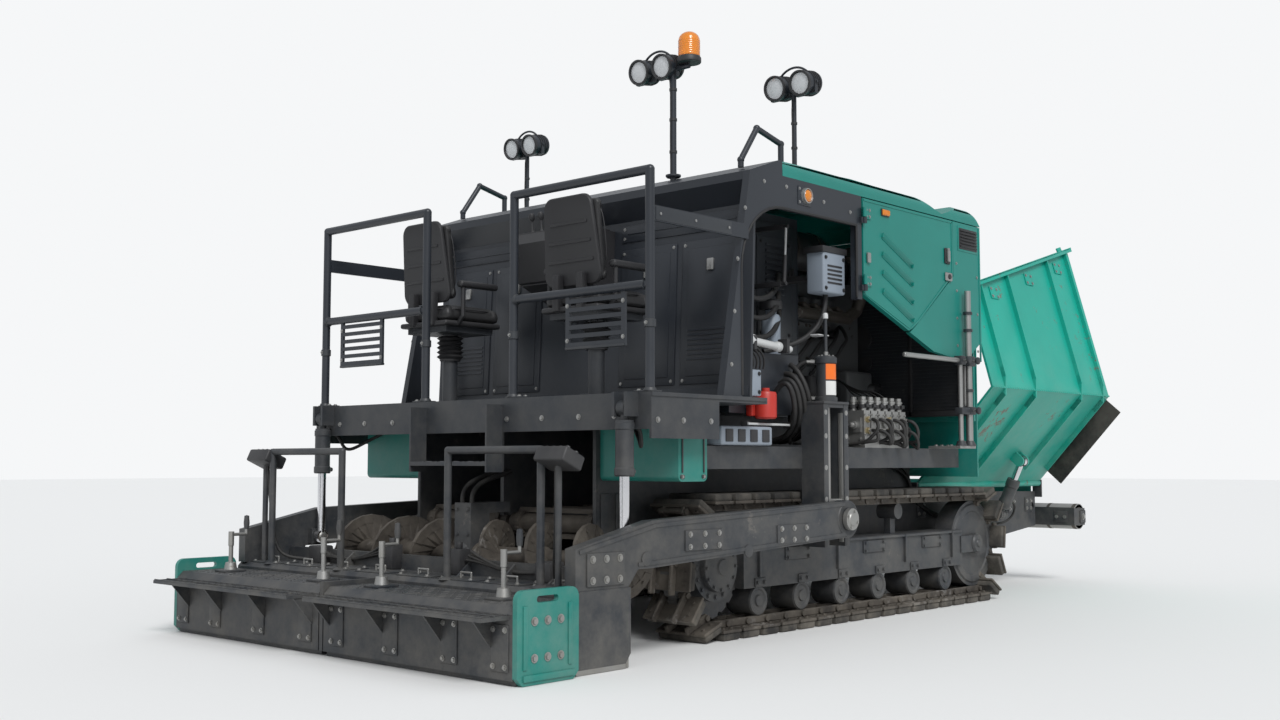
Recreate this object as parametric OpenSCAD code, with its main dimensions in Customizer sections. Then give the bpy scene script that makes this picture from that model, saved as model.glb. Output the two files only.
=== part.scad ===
// Tracked asphalt paver: tractor with hopper in front and a towed extending screed behind.
// Millimetres, +X forwards, +Y to the left, +Z up, the ground at z = 0.
// Two-sided pieces are drawn on the left and mirrored to the right.

/* [Machine] */
// Length over the push rollers and the screed's walkway
overall_len = 6000; // [5980:5:6040]
// Width over the tow arms
machine_w = 2550; // [2530:5:2580]
// Height of the operator's floor
floor_z = 1150; // [1140:1:1165]
// Height of the bonnet's shoulder line
hood_z = 2345; // [2320:5:2380]
// Thickness of folded body sheet
sheet = 12; // [10:1:14]

/* [Tracks] */
// Distance between the sprocket and idler axles
track_base = 2550; // [2500:10:2600]
// Radius of the chain's middle line round the wheels
track_r = 280; // [270:1:290]
// Width of one track shoe
shoe_w = 310; // [290:5:320]
// Height of one track shoe over the chain
shoe_t = 50; // [40:1:56]
// Number of shoes in one track
shoe_count = 44; // [40:1:46]
// Thickness of the chain band
chain_t = 36; // [30:1:40]

/* [Hopper] */
// Radius at which a wing's cylinder pulls
wing_arm_r = 260; // [255:1:270]
// Length of a wing's floor from hinge to knee
wing_floor = 800; // [780:5:820]
// Height of a wing's side at its rear end
wing_side_rear = 650; // [630:5:680]
// Height of a wing's side at its front end
wing_side_front = 1090; // [1060:5:1100]
// Angle of the raised wing floor above the horizontal
wing_rest = 48; // [46:1:50]
// Thickness of a wing's plate
wing_t = 14; // [12:1:16]

/* [Screed] */
// Height of the bottom plate's front edge over the ground
plate_t = 20; // [16:1:24]
// Radius of the auger flights
auger_r = 172; // [165:1:174]
// Turns of flight on one auger
auger_turns = 3; // [2:0.5:4]

/* [Platform] */
// Height of the guard rail over the floor
rail_h = 975; // [950:5:1000]
// Radius of rail tube
tube_r = 21; // [18:0.5:24]
// Height of the lamp mast over the cowl
mast_h = 440; // [400:5:480]

/* [Hidden] */
$fn = 40;

front_x = overall_len / 2;
rear_x = -overall_len / 2;
half_w = machine_w / 2;
screed_w = machine_w - 50;
touch = 0.3; // a seat between two pieces
swing = 8; // room beside a moving piece
shaft_gap = 0.05; // radial running clearance

// Tracks
track_out = track_r + chain_t / 2 + shoe_t;
track_in = track_r - chain_t / 2;
track_y = half_w - 400; // middle of a track
rear_axle = -1300;
front_axle = rear_axle + track_base;
track_path = 2 * track_base + 2 * PI * track_r;
shoe_pitch = track_path / shoe_count;

// Chassis
cheek_y = track_y - 210; // outside of a chassis side plate
cheek_t = 25;
cheek_in = cheek_y - cheek_t;
chassis_rear = -1800;
chassis_top = 1090;
chassis_front = front_x - 340;
belly_z = 330;
lash_at = [[chassis_rear + 50, 375], [chassis_front - 60, 540]];
lash_r = 22.5;
wing_ribs = [1160, 1560, 2220, 2560]; // X of the ribs on a hopper wing
tunnel_z = 550; // middle of the conveyor loop
conveyor_r = 50;

// Bonnet
bonnet_y = half_w - 75;
bonnet_rear = -350;
bonnet_front = 930;
door_front = 600;
panel_t = 30;
shoulder_drop = 95;
cowl_top_rear = -1310;
cowl_foot_rear = -1520;
cowl_y = bonnet_y;
cowl_top = hood_z - 105; // top of the cowl's rear edge
wall_foot = -1270;

// Hopper
hopper_rear = 990;
hopper_front = 2660;
wing_hinge = [cheek_y + 25, 700];
wing_side_lean = 57; // a wing's side from its floor
wing_arm = 12; // angle of the wing's eye below the floor, about the hinge
wing_ram = [cheek_y + 75, 500];
wing_ram_x = 2000;

// Screed
tow_x = -580;
tow_z = 560;
arm_t = 60;
arm_y = half_w - arm_t;
arm_in = arm_y - arm_t / 2;
column_y = [arm_in - 120, arm_in - 7];
guide_y = arm_in - 65; // middle of a tow point's screw and ram
column_top = 1145;
pin_r = 40;
screed_front = -2200;
screed_rear = -2520;
ext_front = screed_rear - 20;
ext_rear = -2860;

ext_bar_x = [-2625, -2775];
ext_bar_z = 200;
ext_bar_r = 45;
lift_foot = [-2100, 1080];
lift_eye = [-2100, 450];
lift_len = norm(lift_eye - lift_foot);
lift_dir = (lift_eye - lift_foot) / lift_len;
lift_y = guide_y;

module box(x, y, z) {
    translate([x[0], y[0], z[0]]) cube([x[1] - x[0], y[1] - y[0], z[1] - z[0]]);
}

module across(y) {
    translate([0, y[1], 0]) rotate([90, 0, 0]) linear_extrude(y[1] - y[0]) children();
}

module along(x) {
    translate([x[0], 0, 0]) rotate([90, 0, 90]) linear_extrude(x[1] - x[0]) children();
}

module rod(a, b, r) {
    d = b - a;
    translate(a)
        rotate([0, acos(d[2] / norm(d)), atan2(d[1], d[0])])
            cylinder(r = r, h = norm(d));
}

module pipe(points, r) {
    for (i = [0:len(points) - 2]) rod(points[i], points[i + 1], r);
    for (i = [1:len(points) - 2]) translate(points[i]) sphere(r + 0.4);
}

module right_side() {
    mirror([0, 1, 0]) children();
}

module both_sides() {
    children();
    right_side() children();
}

// Tracks
function on_track(s) =
    s < track_base ? [front_axle - s, 0, 180]
    : s < track_base + PI * track_r
    ? let (a = (s - track_base) / track_r * 180 / PI)
        [rear_axle - track_r * sin(a), track_r - track_r * cos(a), 180 - a]
    : s < 2 * track_base + PI * track_r
    ? [rear_axle + s - track_base - PI * track_r, 2 * track_r, 0]
    : let (a = (s - 2 * track_base - PI * track_r) / track_r * 180 / PI)
        [front_axle + track_r * sin(a), track_r + track_r * cos(a), -a];

module stadium(x0, x1, z, r) {
    translate([x0, z]) circle(r);
    translate([x1, z]) circle(r);
    translate([x0, z - r]) square([x1 - x0, 2 * r]);
}

module loop_band(x0, x1, z, r, t) {
    difference() {
        stadium(x0, x1, z, r + t / 2);
        stadium(x0, x1, z, r - t / 2);
    }
}

module track() {
    chain_w = 150;
    low = track_out - track_r;
    color([0.13, 0.13, 0.13]) {
        across([track_y - chain_w / 2, track_y + chain_w / 2])
            loop_band(rear_axle, front_axle, track_out, track_r, chain_t);
        for (i = [0:shoe_count - 1]) {
            at = on_track(i * shoe_pitch);
            translate([at[0], track_y, at[1] + low])
                rotate([0, -at[2], 0])
                    translate([-(shoe_pitch - 16) / 2, -shoe_w / 2, 0])
                        cube([shoe_pitch - 16, shoe_w, track_out - track_r]);
        }
    }
}

module track_left() {
    track();
}

module track_right() {
    right_side() track();
}

module wheel(x, z, r, y, teeth = 0) {
    across(y)
        translate([x, z])
            difference() {
                circle(r);
                for (i = [1:1:teeth])
                    rotate(i * 360 / teeth) translate([r, 0]) circle(13);
            }
}

module track_frame() {
    beam_z = [track_out - 122, track_out + 90];
    roller_r = 74;
    carrier_r = 44;
    in_y = cheek_y + touch;
    run = track_in - touch;
    color([0.17, 0.18, 0.19]) {
        box([rear_axle + 230, front_axle - 170], [track_y - 85, track_y + 85], beam_z);
        for (x = [rear_axle + 320, front_axle - 320])
            box([x - 90, x + 90], [in_y, track_y], [beam_z[0] + 20, beam_z[1] - 20]);
        wheel(rear_axle, track_out, run, [track_y - 28, track_y + 28], 22);
        across([in_y, track_y + 95]) translate([rear_axle, track_out]) circle(165);
        across([track_y + 95, track_y + 125]) translate([rear_axle, track_out]) circle(120);
        wheel(front_axle, track_out, run, [track_y - 60, track_y + 60]);
        across([track_y - 95, track_y + 95]) translate([front_axle, track_out]) circle(60);
        for (s = [-1, 1])
            box([front_axle - 190, front_axle + 40],
                [track_y + s * 80 - 12, track_y + s * 80 + 12], [track_out - 50, track_out + 50]);
        for (i = [0:5]) {
            x = rear_axle + 360 + i * (track_base - 720) / 5;
            across([track_y - 70, track_y + 70])
                translate([x, track_out - run + roller_r]) circle(roller_r);
        }
        for (x = [rear_axle + track_base / 3, rear_axle + 2 * track_base / 3]) {
            across([track_y - 60, track_y + 60])
                translate([x, track_out + run - carrier_r]) circle(carrier_r);
            box([x - 25, x + 25], [track_y - 20, track_y + 20],
                [beam_z[1] - 5, track_out + run - carrier_r]);
        }
    }
}

module track_frame_left() {
    track_frame();
}

module track_frame_right() {
    right_side() track_frame();
}

// Side plates with their lashing eyes, wing hinges and ears of the wing rams
module chassis() {
    color([0.16, 0.17, 0.18])
        both_sides() {
            across([cheek_in, cheek_y])
                difference() {
                    polygon([[chassis_rear, belly_z], [chassis_rear, chassis_top],
                        [hopper_rear - 12 - touch, chassis_top], [hopper_rear - 12 - touch, 664],
                        [chassis_front, 640], [chassis_front, 400],
                        [chassis_front - 700, belly_z]]);
                    for (at = lash_at) translate(at) circle(lash_r);
                }
            for (x = [wing_ram_x - 40, wing_ram_x + 24]) {
                rod([x, wing_ram[0], wing_ram[1]], [x + 16, wing_ram[0], wing_ram[1]], 34);
                box([x, x + 16], [cheek_y - 5, wing_ram[0]], [wing_ram[1] - 34, wing_ram[1] + 20]);
            }
            rod([wing_ram_x - 30, wing_ram[0], wing_ram[1]],
                [wing_ram_x + 30, wing_ram[0], wing_ram[1]], 20);
            for (x = [hopper_rear - 4, hopper_front + 7])
                box([x, x + 15], [cheek_in + 5, wing_hinge[0] + 20], [600, wing_hinge[1] + 22]);
            box([hopper_front - 10, hopper_front + 10], [cheek_in + 1, cheek_y - 1], [600, 638]);
            rod([hopper_rear, wing_hinge[0], wing_hinge[1]],
                [hopper_front + 20, wing_hinge[0], wing_hinge[1]], 15);
        }
}

// Roof, belly and middle wall between the side plates
module frame_plates() {
    roof_t = 20;
    side = cheek_in - touch;
    color([0.16, 0.17, 0.18]) {
        box([chassis_rear, bonnet_front], [-side, side], [chassis_top - roof_t, chassis_top]);
        box([chassis_rear + 120, chassis_front - 720], [-side, side], [belly_z, belly_z + roof_t]);
        box([chassis_rear, hopper_rear - 13], [-12, 12],
            [582 + touch, chassis_top - roof_t - touch]);
    }
}

// Crossbeams and the plates that the conveyors drag the mix over
module conveyor_deck() {
    side = cheek_in - touch;
    color([0.16, 0.17, 0.18]) {
        for (x = [-1600, -700, 250, 1200, 2150])
            box([x - 40, x + 40], [-side, side], [518, 582]);
        both_sides()
            box([chassis_rear + 140, chassis_front - 160], [108, cheek_in - 88],
                [580, tunnel_z + conveyor_r - touch]);
    }
}

// Front crossbeam with the pivot of the push bar
module front_beam() {
    side = cheek_in - touch;
    color([0.16, 0.17, 0.18]) {
        box([chassis_front - 60, chassis_front], [-side, side], [400, 470]);
        for (z = [395, 505])
            box([chassis_front - 5, chassis_front + 104], [-60, 60], [z, z + 20]);
        box([chassis_front - 5, chassis_front + 12], [-200, 200], [395, 525]);
        translate([chassis_front + 60, 0, 395]) cylinder(r = 30, h = 130);
    }
}

module engine() {
    color([0.3, 0.31, 0.32])
        box([-300, 820], [-400, 400], [chassis_top + touch, 1950]);
}

// Closed cabinet behind the engine, seen through the openings in the cowl's sides
module cabinet() {
    color([0.14, 0.15, 0.17]) {
        box([-1180, -320], [440 - bonnet_y, bonnet_y - 440], [chassis_top + touch, hood_z - 165]);
        box([-1180, -600], [240 - bonnet_y, bonnet_y - 240], [chassis_top + touch, 1400]);
    }
}

// Decks over the tracks with the guide column of the tow point
module side_deck() {
    deck_z = 905;
    edge = column_y[0] - 20;
    color([0.16, 0.17, 0.18])
        both_sides() {
            box([-1560, 905], [cheek_y + touch, edge], [deck_z, deck_z + 20]);
            box([-1560, 905], [edge - 15, edge], [deck_z - 90, deck_z + 20]);
            for (x = [-1450, -60, 880])
                box([x - 8, x + 8], [cheek_y + touch, edge - 15], [deck_z - 90, deck_z]);
            difference() {
                box([tow_x - 110, tow_x + 110], [edge - 5, column_y[1]], [420, column_top]);
                box([tow_x - 70, tow_x + 70], [column_y[0], half_w], [400, column_top - 20]);
                translate([tow_x, guide_y, column_top - 30]) cylinder(r = 22, h = 40);
            }
        }
}

function roof_line() = [
    [bonnet_rear - 700, hood_z - 15], [bonnet_rear - 450, hood_z], [bonnet_rear - 250, hood_z],
    [bonnet_rear, hood_z + 8], [bonnet_rear + 580, hood_z],
    [bonnet_rear + 760, hood_z - 60], [bonnet_rear + 830, hood_z - 75],
    [bonnet_rear + 920, hood_z - 50], [bonnet_rear + 1030, hood_z],
    [bonnet_rear + 1180, hood_z - 5], [bonnet_front, hood_z - shoulder_drop]
];

module bonnet() {
    line = roof_line();
    low = hood_z - 345;
    r = 70;
    color([0.02, 0.36, 0.34])
        difference() {
            intersection() {
                across([-bonnet_y, bonnet_y])
                    polygon(concat(line, [[bonnet_rear - 700, hood_z - shoulder_drop]]));
                along([bonnet_rear - 710, bonnet_front + 10]) {
                    translate([-bonnet_y, low]) square([2 * bonnet_y, hood_z - low - r]);
                    translate([-bonnet_y + r, low]) square([2 * (bonnet_y - r), 500]);
                    for (s = [-1, 1]) translate([s * (bonnet_y - r), hood_z - r]) circle(r);
                }
            }
            translate([0, 0, -sheet])
                across([-bonnet_y + sheet, bonnet_y - sheet])
                    polygon(concat(line, [[bonnet_rear - 700, low]]));
        }
}

// Front wall of the bonnet and the fixed corner panels with the lamps
module bonnet_front() {
    top = hood_z - shoulder_drop - 6;
    color([0.02, 0.4, 0.38]) {
        box([bonnet_front - 30, bonnet_front - sheet], [-bonnet_y + 45, bonnet_y - 45],
            [chassis_top + touch, hood_z - 100]);
        both_sides() {
            across([bonnet_y - panel_t, bonnet_y])
                polygon([[door_front + 6, top], [bonnet_front - 4, top],
                    [bonnet_front - 4, 1560], [bonnet_rear + 1080, 1430],
                    [bonnet_rear + 720, 1470], [bonnet_rear + 470, 1560],
                    [bonnet_rear + 545, 1610], [door_front + 6, 1920]]);
            box([bonnet_front - 30, bonnet_front - sheet], [bonnet_y - 46, bonnet_y - panel_t + 2],
                [1600, top]);
        }
    }
    color([0.12, 0.12, 0.13])
        both_sides()
            box([bonnet_front - sheet - 1, bonnet_front + 15], [bonnet_y - 200, bonnet_y - 50],
                [hood_z - 265, hood_z - 125]);
}

door_hinge = [bonnet_rear + 4, bonnet_y + 16];
hinge_levels = [hood_z - 565, hood_z - 205];

module side_door() {
    top = hood_z - shoulder_drop - 6;
    color([0.02, 0.4, 0.38])
        difference() {
            union() {
                across([bonnet_y - panel_t, bonnet_y])
                    difference() {
                        polygon([[bonnet_rear + 6, 1731], [bonnet_rear + 6, top],
                            [door_front, top], [door_front, 1923], [bonnet_rear + 540, 1616],
                            [bonnet_rear + 460, 1568]]);
                        for (i = [0:3])
                            translate([bonnet_rear + 190, 2050 - i * 100])
                                rotate(-24) square([330, 26]);
                    }
                for (z = hinge_levels) {
                    translate([door_hinge[0], door_hinge[1], z]) cylinder(r = 12, h = 50);
                    box([door_hinge[0] + 4, door_hinge[0] + 20], [bonnet_y - 4, door_hinge[1]],
                        [z, z + 50]);
                }
            }
            for (z = hinge_levels)
                translate([door_hinge[0], door_hinge[1], z - 5])
                    cylinder(r = 6 + shaft_gap, h = 60);
        }
}

module side_door_left() {
    side_door();
}

module side_door_right() {
    right_side() side_door();
}

// Dark cowl between the platform and the bonnet
module cowl() {
    top = hood_z - 20;
    color([0.13, 0.14, 0.16]) {
        both_sides() {
            across([cowl_y - 40, cowl_y])
                difference() {
                    polygon([[cowl_foot_rear, floor_z + touch], [cowl_top_rear, cowl_top],
                        [cowl_top_rear + 230, top - 2], [bonnet_rear - 700 - 2, hood_z - 17],
                        [bonnet_rear - 700 - 2, hood_z - shoulder_drop - touch],
                        [bonnet_rear - 4, hood_z - shoulder_drop - touch],
                        [bonnet_rear - 4, 1700], [bonnet_rear - 60, 1700],
                        [bonnet_rear - 60, floor_z + touch]]);
                    translate([-1050, 1760]) circle(330);
                    translate([-1380, 1090]) square([330, 670]);
                    translate([-1050, 1090]) square([650, 1000]);
                }
            for (z = hinge_levels) {
                translate([door_hinge[0], door_hinge[1], z - 34]) cylinder(r = 12, h = 30);
                box([door_hinge[0] - 30, door_hinge[0]], [cowl_y - 4, door_hinge[1]],
                    [z - 34, z - 4]);
                translate([door_hinge[0], door_hinge[1], z - 10]) cylinder(r = 6, h = 56);
            }
        }
        across([-cowl_y + 40, cowl_y - 40])
            polygon([[wall_foot, floor_z + touch], [wall_foot + 40, cowl_top - 140],
                [cowl_top_rear, cowl_top - 40], [cowl_top_rear, cowl_top],
                [cowl_top_rear + 230, top - 2], [cowl_top_rear + 246, top - 16],
                [cowl_top_rear + 16, cowl_top - 14], [wall_foot + 56, cowl_top - 124],
                [wall_foot + 16, floor_z + touch]]);
    }
}

module console() {
    color([0.1, 0.1, 0.11])
        across([-240, 240])
            polygon([[wall_foot + 22.8, 1700], [-1480, 1800], [-1540, 2000], [-1500, 2060],
                [wall_foot + 37.9, 2060]]);
}

// Operator's floor with the ears of the screed's lift cylinders
module floor() {
    side = half_w - 35;
    color([0.18, 0.19, 0.2]) {
        box([-2060, wall_foot + 30], [-side, side], [floor_z - 30, floor_z]);
        both_sides() {
            box([-2060, -1600], [side - 12, side], [floor_z - 200, floor_z - 29]);
            for (y = [lift_y - 44, lift_y + 28])
                box([lift_foot[0] - 36, -2050], [y, y + 16], [lift_foot[1] - 36, floor_z]);
            box([-1790, wall_foot], [cheek_in - 140, cheek_in - 80], [chassis_top + touch, floor_z - 29]);
            rod([lift_foot[0], lift_y - 30, lift_foot[1]], [lift_foot[0], lift_y + 30, lift_foot[1]], 20);
        }
        box([-2060, -2048], [11 - side, side - 11], [floor_z - 160, floor_z - 29]);
    }
}

module tanks() {
    side = half_w - 125;
    color([0.02, 0.4, 0.38])
        both_sides()
            difference() {
                union() {
                    across([cheek_y + touch, side])
                        offset(r = 25) offset(delta = -25)
                            translate([-1780, 760]) square([200, floor_z - 30 - touch - 760]);
                    rod([-1680, side - 1, 1040], [-1680, side + 18, 1040], 42);
                }
                rod([-1680, side + 10, 1040], [-1680, side + 20, 1040], 34);
            }
}

// Step between the two rear rails
module ladders() {
    color([0.2, 0.21, 0.22]) {
        box([-2160, -2062], [-280, 280], [830, 850]);
        for (y = [-290, 280])
            box([-2160, -2060 - touch], [y, y + 10], [800, floor_z - 30]);
    }
}

seat_at = [-1690, 550];

module seat_post() {
    color([0.12, 0.12, 0.13])
        translate([seat_at[0], seat_at[1], floor_z + touch]) {
            cylinder(r = 90, h = 14);
            cylinder(r = 40, h = 390);
            translate([-160, -160, 380]) cube([320, 320, 30]);
        }
}

module seat_post_left() {
    seat_post();
}

module seat_post_right() {
    right_side() seat_post();
}

module seat() {
    base = floor_z + 410 + 2 * touch;
    color([0.08, 0.08, 0.08])
        translate([seat_at[0], seat_at[1], 0]) {
            box([-200, 200], [-200, 200], [base, base + 110]);
            across([-195, 195])
                polygon([[-200, base + 100], [-110, base + 100], [-150, base + 560],
                    [-225, base + 560]]);
        }
}

module seat_left() {
    seat();
}

module seat_right() {
    right_side() seat();
}

module guard_rail() {
    side = half_w - 70;
    x = -2030;
    top = floor_z + rail_h;
    mid = floor_z + 470;
    color([0.1, 0.1, 0.11])
        both_sides() {
            pipe([[x, 330, floor_z + touch], [x, 330, top], [x, side, top],
                [x, side, floor_z + touch]], tube_r);
            rod([x, 330, mid], [x, side, mid], tube_r);
            box([x, cowl_foot_rear + 180], [cowl_y + touch, cowl_y + 12], [floor_z + 750, floor_z + 820]);
            for (i = [0:5])
                box([x - 6, x + 6], [side - 505, side - 155], [mid - 250 + i * 40, mid - 230 + i * 40]);
            for (y = [side - 505, side - 155])
                box([x - 6, x + 6], [y - 12, y + 12], [mid - 260, mid]);
        }
}

// Bent handle with a thicker knuckle at each bend
module hoop(points, r) {
    for (i = [0:len(points) - 2]) rod(points[i], points[i + 1], r);
    for (i = [1:len(points) - 2]) translate(points[i]) sphere(r + 3);
}

module lamp_head(at) {
    translate(at) {
        rotate([90, 0, 0]) cylinder(r = 16, h = 150, center = true);
        for (s = [-1, 1])
            translate([0, s * 80, 20]) rotate([0, 80, 0]) cylinder(r = 62, h = 110, center = true);
        rotate([90, 0, 90])
            rotate_extrude(angle = 180) translate([118, 0]) circle(6);
    }
}

module lamp_masts() {
    base = [-700, cowl_y - 180, hood_z + touch];
    hoop_y = cowl_y - 150;
    color([0.12, 0.13, 0.15])
        both_sides() {
            translate(base) cylinder(r = 40, h = 10);
            rod(base, base + [0, 0, mast_h], 13);
            lamp_head(base + [0, 0, mast_h]);
            hoop([[-1190, hoop_y, hood_z - 53], [-1190, hoop_y, hood_z - 15], [-1060, hoop_y, hood_z + 165],
                [-860, hoop_y, hood_z + 120], [-860, hoop_y, hood_z - 2.2]], 15);
        }
}

beacon_at = [-1120, -550];

module beacon_mast() {
    top = hood_z + mast_h + 110;
    color([0.12, 0.13, 0.15]) {
        difference() {
            rod([beacon_at[0], beacon_at[1], cowl_top + 40], [beacon_at[0], beacon_at[1], top], 17);
            across([beacon_at[1] - 30, beacon_at[1] + 30])
                polygon([[cowl_top_rear, cowl_top - 40], [cowl_top_rear, cowl_top + touch],
                    [cowl_top_rear + 230, hood_z - 22 + touch], [cowl_top_rear + 230, cowl_top - 40]]);
        }
        rod([beacon_at[0], beacon_at[1] - 110, top], [beacon_at[0], beacon_at[1] + 110, top], 13);
        lamp_head([beacon_at[0], beacon_at[1] + 110, top]);
    }
}

module beacon() {
    color([0.95, 0.6, 0.05])
        translate([beacon_at[0], beacon_at[1] - 110, hood_z + mast_h + 110 + 13 + touch]) {
            cylinder(r = 60, h = 30);
            cylinder(r = 55, h = 110);
            translate([0, 0, 110]) sphere(55);
        }
}

module exhaust() {
    foot = hood_z + 3.2;
    color([0.25, 0.24, 0.23])
        difference() {
            union() {
                rod([100, 700, foot], [100, 700, hood_z + 215], 55);
                rod([100, 700, foot], [100, 700, hood_z + 17], 75);
            }
            rod([100, 700, hood_z + 55], [100, 700, hood_z + 225], 51);
        }
}

module valve_block() {
    side = column_y[0] - 25;
    color([0.45, 0.46, 0.47])
        right_side() {
            box([-100, 350], [side - 140, side], [925 + touch, 990]);
            for (i = [0:5]) {
                x = -88 + i * 73;
                box([x, x + 61], [side - 128, side - 12], [989, 1130]);
                for (y = [side - 100, side - 40])
                    translate([x + 30, y, 1129]) cylinder(r = 20, h = 46);
            }
            box([-95, 345], [side - 110, side - 30], [1010, 1090]);
            rod([125, side - 13, 1060], [125, side, 1060], 30);
        }
}

module guide_rods() {
    rod_y = half_w - 40;
    color([0.62, 0.62, 0.6])
        right_side() {
            box([560, 740], [column_y[0] - 20 + touch, half_w - 25], [925, 940]);
            rod([700, rod_y, 939], [700, rod_y, 1460], 20);
            rod([700, rod_y, 1459], [700, rod_y, 1840], 19);
            rod([0, rod_y, 1430], [720, rod_y, 1430], 14);
            rod([600, rod_y, 939], [600, rod_y, 1430], 14);
        }
}

// Hopper
module hopper_wall() {
    color([0.02, 0.4, 0.38])
        box([hopper_rear - 12, hopper_rear], [70 - bonnet_y, bonnet_y - 70], [760, 1700]);
    color([0.1, 0.1, 0.1])
        box([chassis_front - 20, chassis_front - 5], [-cheek_in + touch, cheek_in - touch], [480, 720]);
}

module conveyor() {
    x0 = chassis_rear + 80;
    x1 = chassis_front - 110;
    pitch = (x1 - x0) / 19;
    color([0.3, 0.29, 0.28]) {
        for (y = [[60, 100], [cheek_in - 80, cheek_in - 40]])
            across(y) loop_band(x0, x1, tunnel_z, conveyor_r, 16);
        for (x = [x0, x1])
            across([12 + touch, cheek_in - touch]) translate([x, tunnel_z]) circle(44);
        for (i = [0:19])
            for (z = [tunnel_z + conveyor_r, tunnel_z - conveyor_r - 24])
                box([x0 + i * pitch - 12, x0 + i * pitch + 12], [60, cheek_in - 40], [z, z + 24]);
    }
}

module conveyor_left() {
    conveyor();
}

module conveyor_right() {
    right_side() conveyor();
}

// Side plate of a wing with its folded rim and outer ribs, its foot on Z = 0
module wing_side(x0) {
    slope = (wing_side_front - wing_side_rear) / (hopper_front - x0);
    rim = 12;
    across([-wing_t, 0])
        polygon([[x0, 0], [hopper_front, 0], [hopper_front, wing_side_front], [x0, wing_side_rear]]);
    across([-wing_t, 34])
        polygon([[x0, wing_side_rear - rim], [hopper_front, wing_side_front - rim],
            [hopper_front, wing_side_front], [x0, wing_side_rear]]);
    for (x = wing_ribs)
        box([x, x + 12], [-1, 26], [70, wing_side_rear + slope * (x - x0) - rim + 1]);
}

module wing() {
    eye = wing_arm_r * [cos(wing_arm), -sin(wing_arm)];
    x0 = hopper_rear + 20;
    color([0.03, 0.55, 0.52])
        translate([0, wing_hinge[0], wing_hinge[1]])
            rotate([wing_rest, 0, 0])
                difference() {
                    union() {
                        box([x0, hopper_front], [0, wing_floor], [0, wing_t]);
                        rod([x0, 0, 0], [hopper_front, 0, 0], 22);
                        translate([0, wing_floor, 0])
                            rotate([wing_side_lean - 90, 0, 0])
                                wing_side(x0);
                        for (x = wing_ribs)
                            box([x, x + 12], [150, wing_floor - 30], [-32, 1]);
                        for (x = [wing_ram_x - 42, wing_ram_x + 26]) {
                            rod([x, eye[0], eye[1]], [x + 16, eye[0], eye[1]], 34);
                            box([x, x + 16], [eye[0] - 34, eye[0] + 34], [eye[1], 2]);
                        }
                        rod([wing_ram_x - 30, eye[0], eye[1]],
                            [wing_ram_x + 30, eye[0], eye[1]], 12);
                    }
                    rod([x0 - 10, 0, 0], [hopper_front + 10, 0, 0], 15 + shaft_gap);
                }
}

module wing_left() {
    wing();
}

module wing_right() {
    right_side() wing();
}

// The wing's eye at rest, in Y and Z
wing_eye = wing_hinge + wing_arm_r * [cos(wing_rest - wing_arm), sin(wing_rest - wing_arm)];
wing_ram_len = norm(wing_eye - wing_ram);
wing_ram_dir = (wing_eye - wing_ram) / wing_ram_len;

module wing_barrel() {
    a = [wing_ram_x, wing_ram[0], wing_ram[1]];
    d = [0, wing_ram_dir[0], wing_ram_dir[1]];
    color([0.2, 0.21, 0.22])
        difference() {
            union() {
                rod(a + 50 * d, a + 250 * d, 40);
                rod(a, a + 55 * d, 19);
                rod(a - [20, 0, 0], a + [20, 0, 0], 34);
            }
            rod(a + 64 * d, a + 280 * d, 22 + shaft_gap);
            rod(a - [30, 0, 0], a + [30, 0, 0], 20 + shaft_gap);
        }
}

module wing_rod() {
    a = [wing_ram_x, wing_ram[0], wing_ram[1]];
    d = [0, wing_ram_dir[0], wing_ram_dir[1]];
    color([0.75, 0.75, 0.75])
        difference() {
            union() {
                rod(a + 145 * d, a + (wing_ram_len - 25) * d, 22);
                rod(a + wing_ram_len * d - [18, 0, 0], a + wing_ram_len * d + [18, 0, 0], 34);
            }
            rod(a + wing_ram_len * d - [30, 0, 0], a + wing_ram_len * d + [30, 0, 0], 23);
        }
}

module wing_barrel_left() {
    wing_barrel();
}

module wing_barrel_right() {
    right_side() wing_barrel();
}

module wing_rod_left() {
    wing_rod();
}

module wing_rod_right() {
    right_side() wing_rod();
}

// Push rollers
module push_bar() {
    px = chassis_front + 60;
    roller_x = front_x - 90;
    color([0.16, 0.17, 0.18])
        difference() {
            union() {
                box([px + 60, px + 85], [-900, 900], [400, 520]);
                translate([px, 0, 418]) cylinder(r = 42, h = 84);
                box([px, px + 70], [-50, 50], [418, 502]);
                for (y = [-900, -60, 44, 884])
                    box([px + 80, roller_x + 40], [y, y + 16], [400, 520]);
            }
            translate([px, 0, 380]) cylinder(r = 30 + shaft_gap, h = 200);
            for (s = [-1, 1])
                across([min(s * 30, s * 910), max(s * 30, s * 910)])
                    translate([roller_x, 460]) circle(25 + shaft_gap);
        }
}

module push_roller() {
    roller_x = front_x - 90;
    color([0.3, 0.3, 0.3]) {
        across([68, 876]) translate([roller_x, 460]) circle(90);
        across([46, 898]) translate([roller_x, 460]) circle(25);
    }
}

module push_roller_left() {
    push_roller();
}

module push_roller_right() {
    right_side() push_roller();
}

// Levelling rams, tow points and tow arms
module levelling_rams() {
    base = column_top + touch;
    color([0.2, 0.21, 0.23])
        both_sides() {
            difference() {
                rod([tow_x, guide_y, base], [tow_x, guide_y, 1390], 50);
                rod([tow_x, guide_y, base - 10], [tow_x, guide_y, 1340], 20 + shaft_gap);
            }
            rod([tow_x, guide_y, 1389], [tow_x, guide_y, 1610], 9);
        }
}

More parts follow.
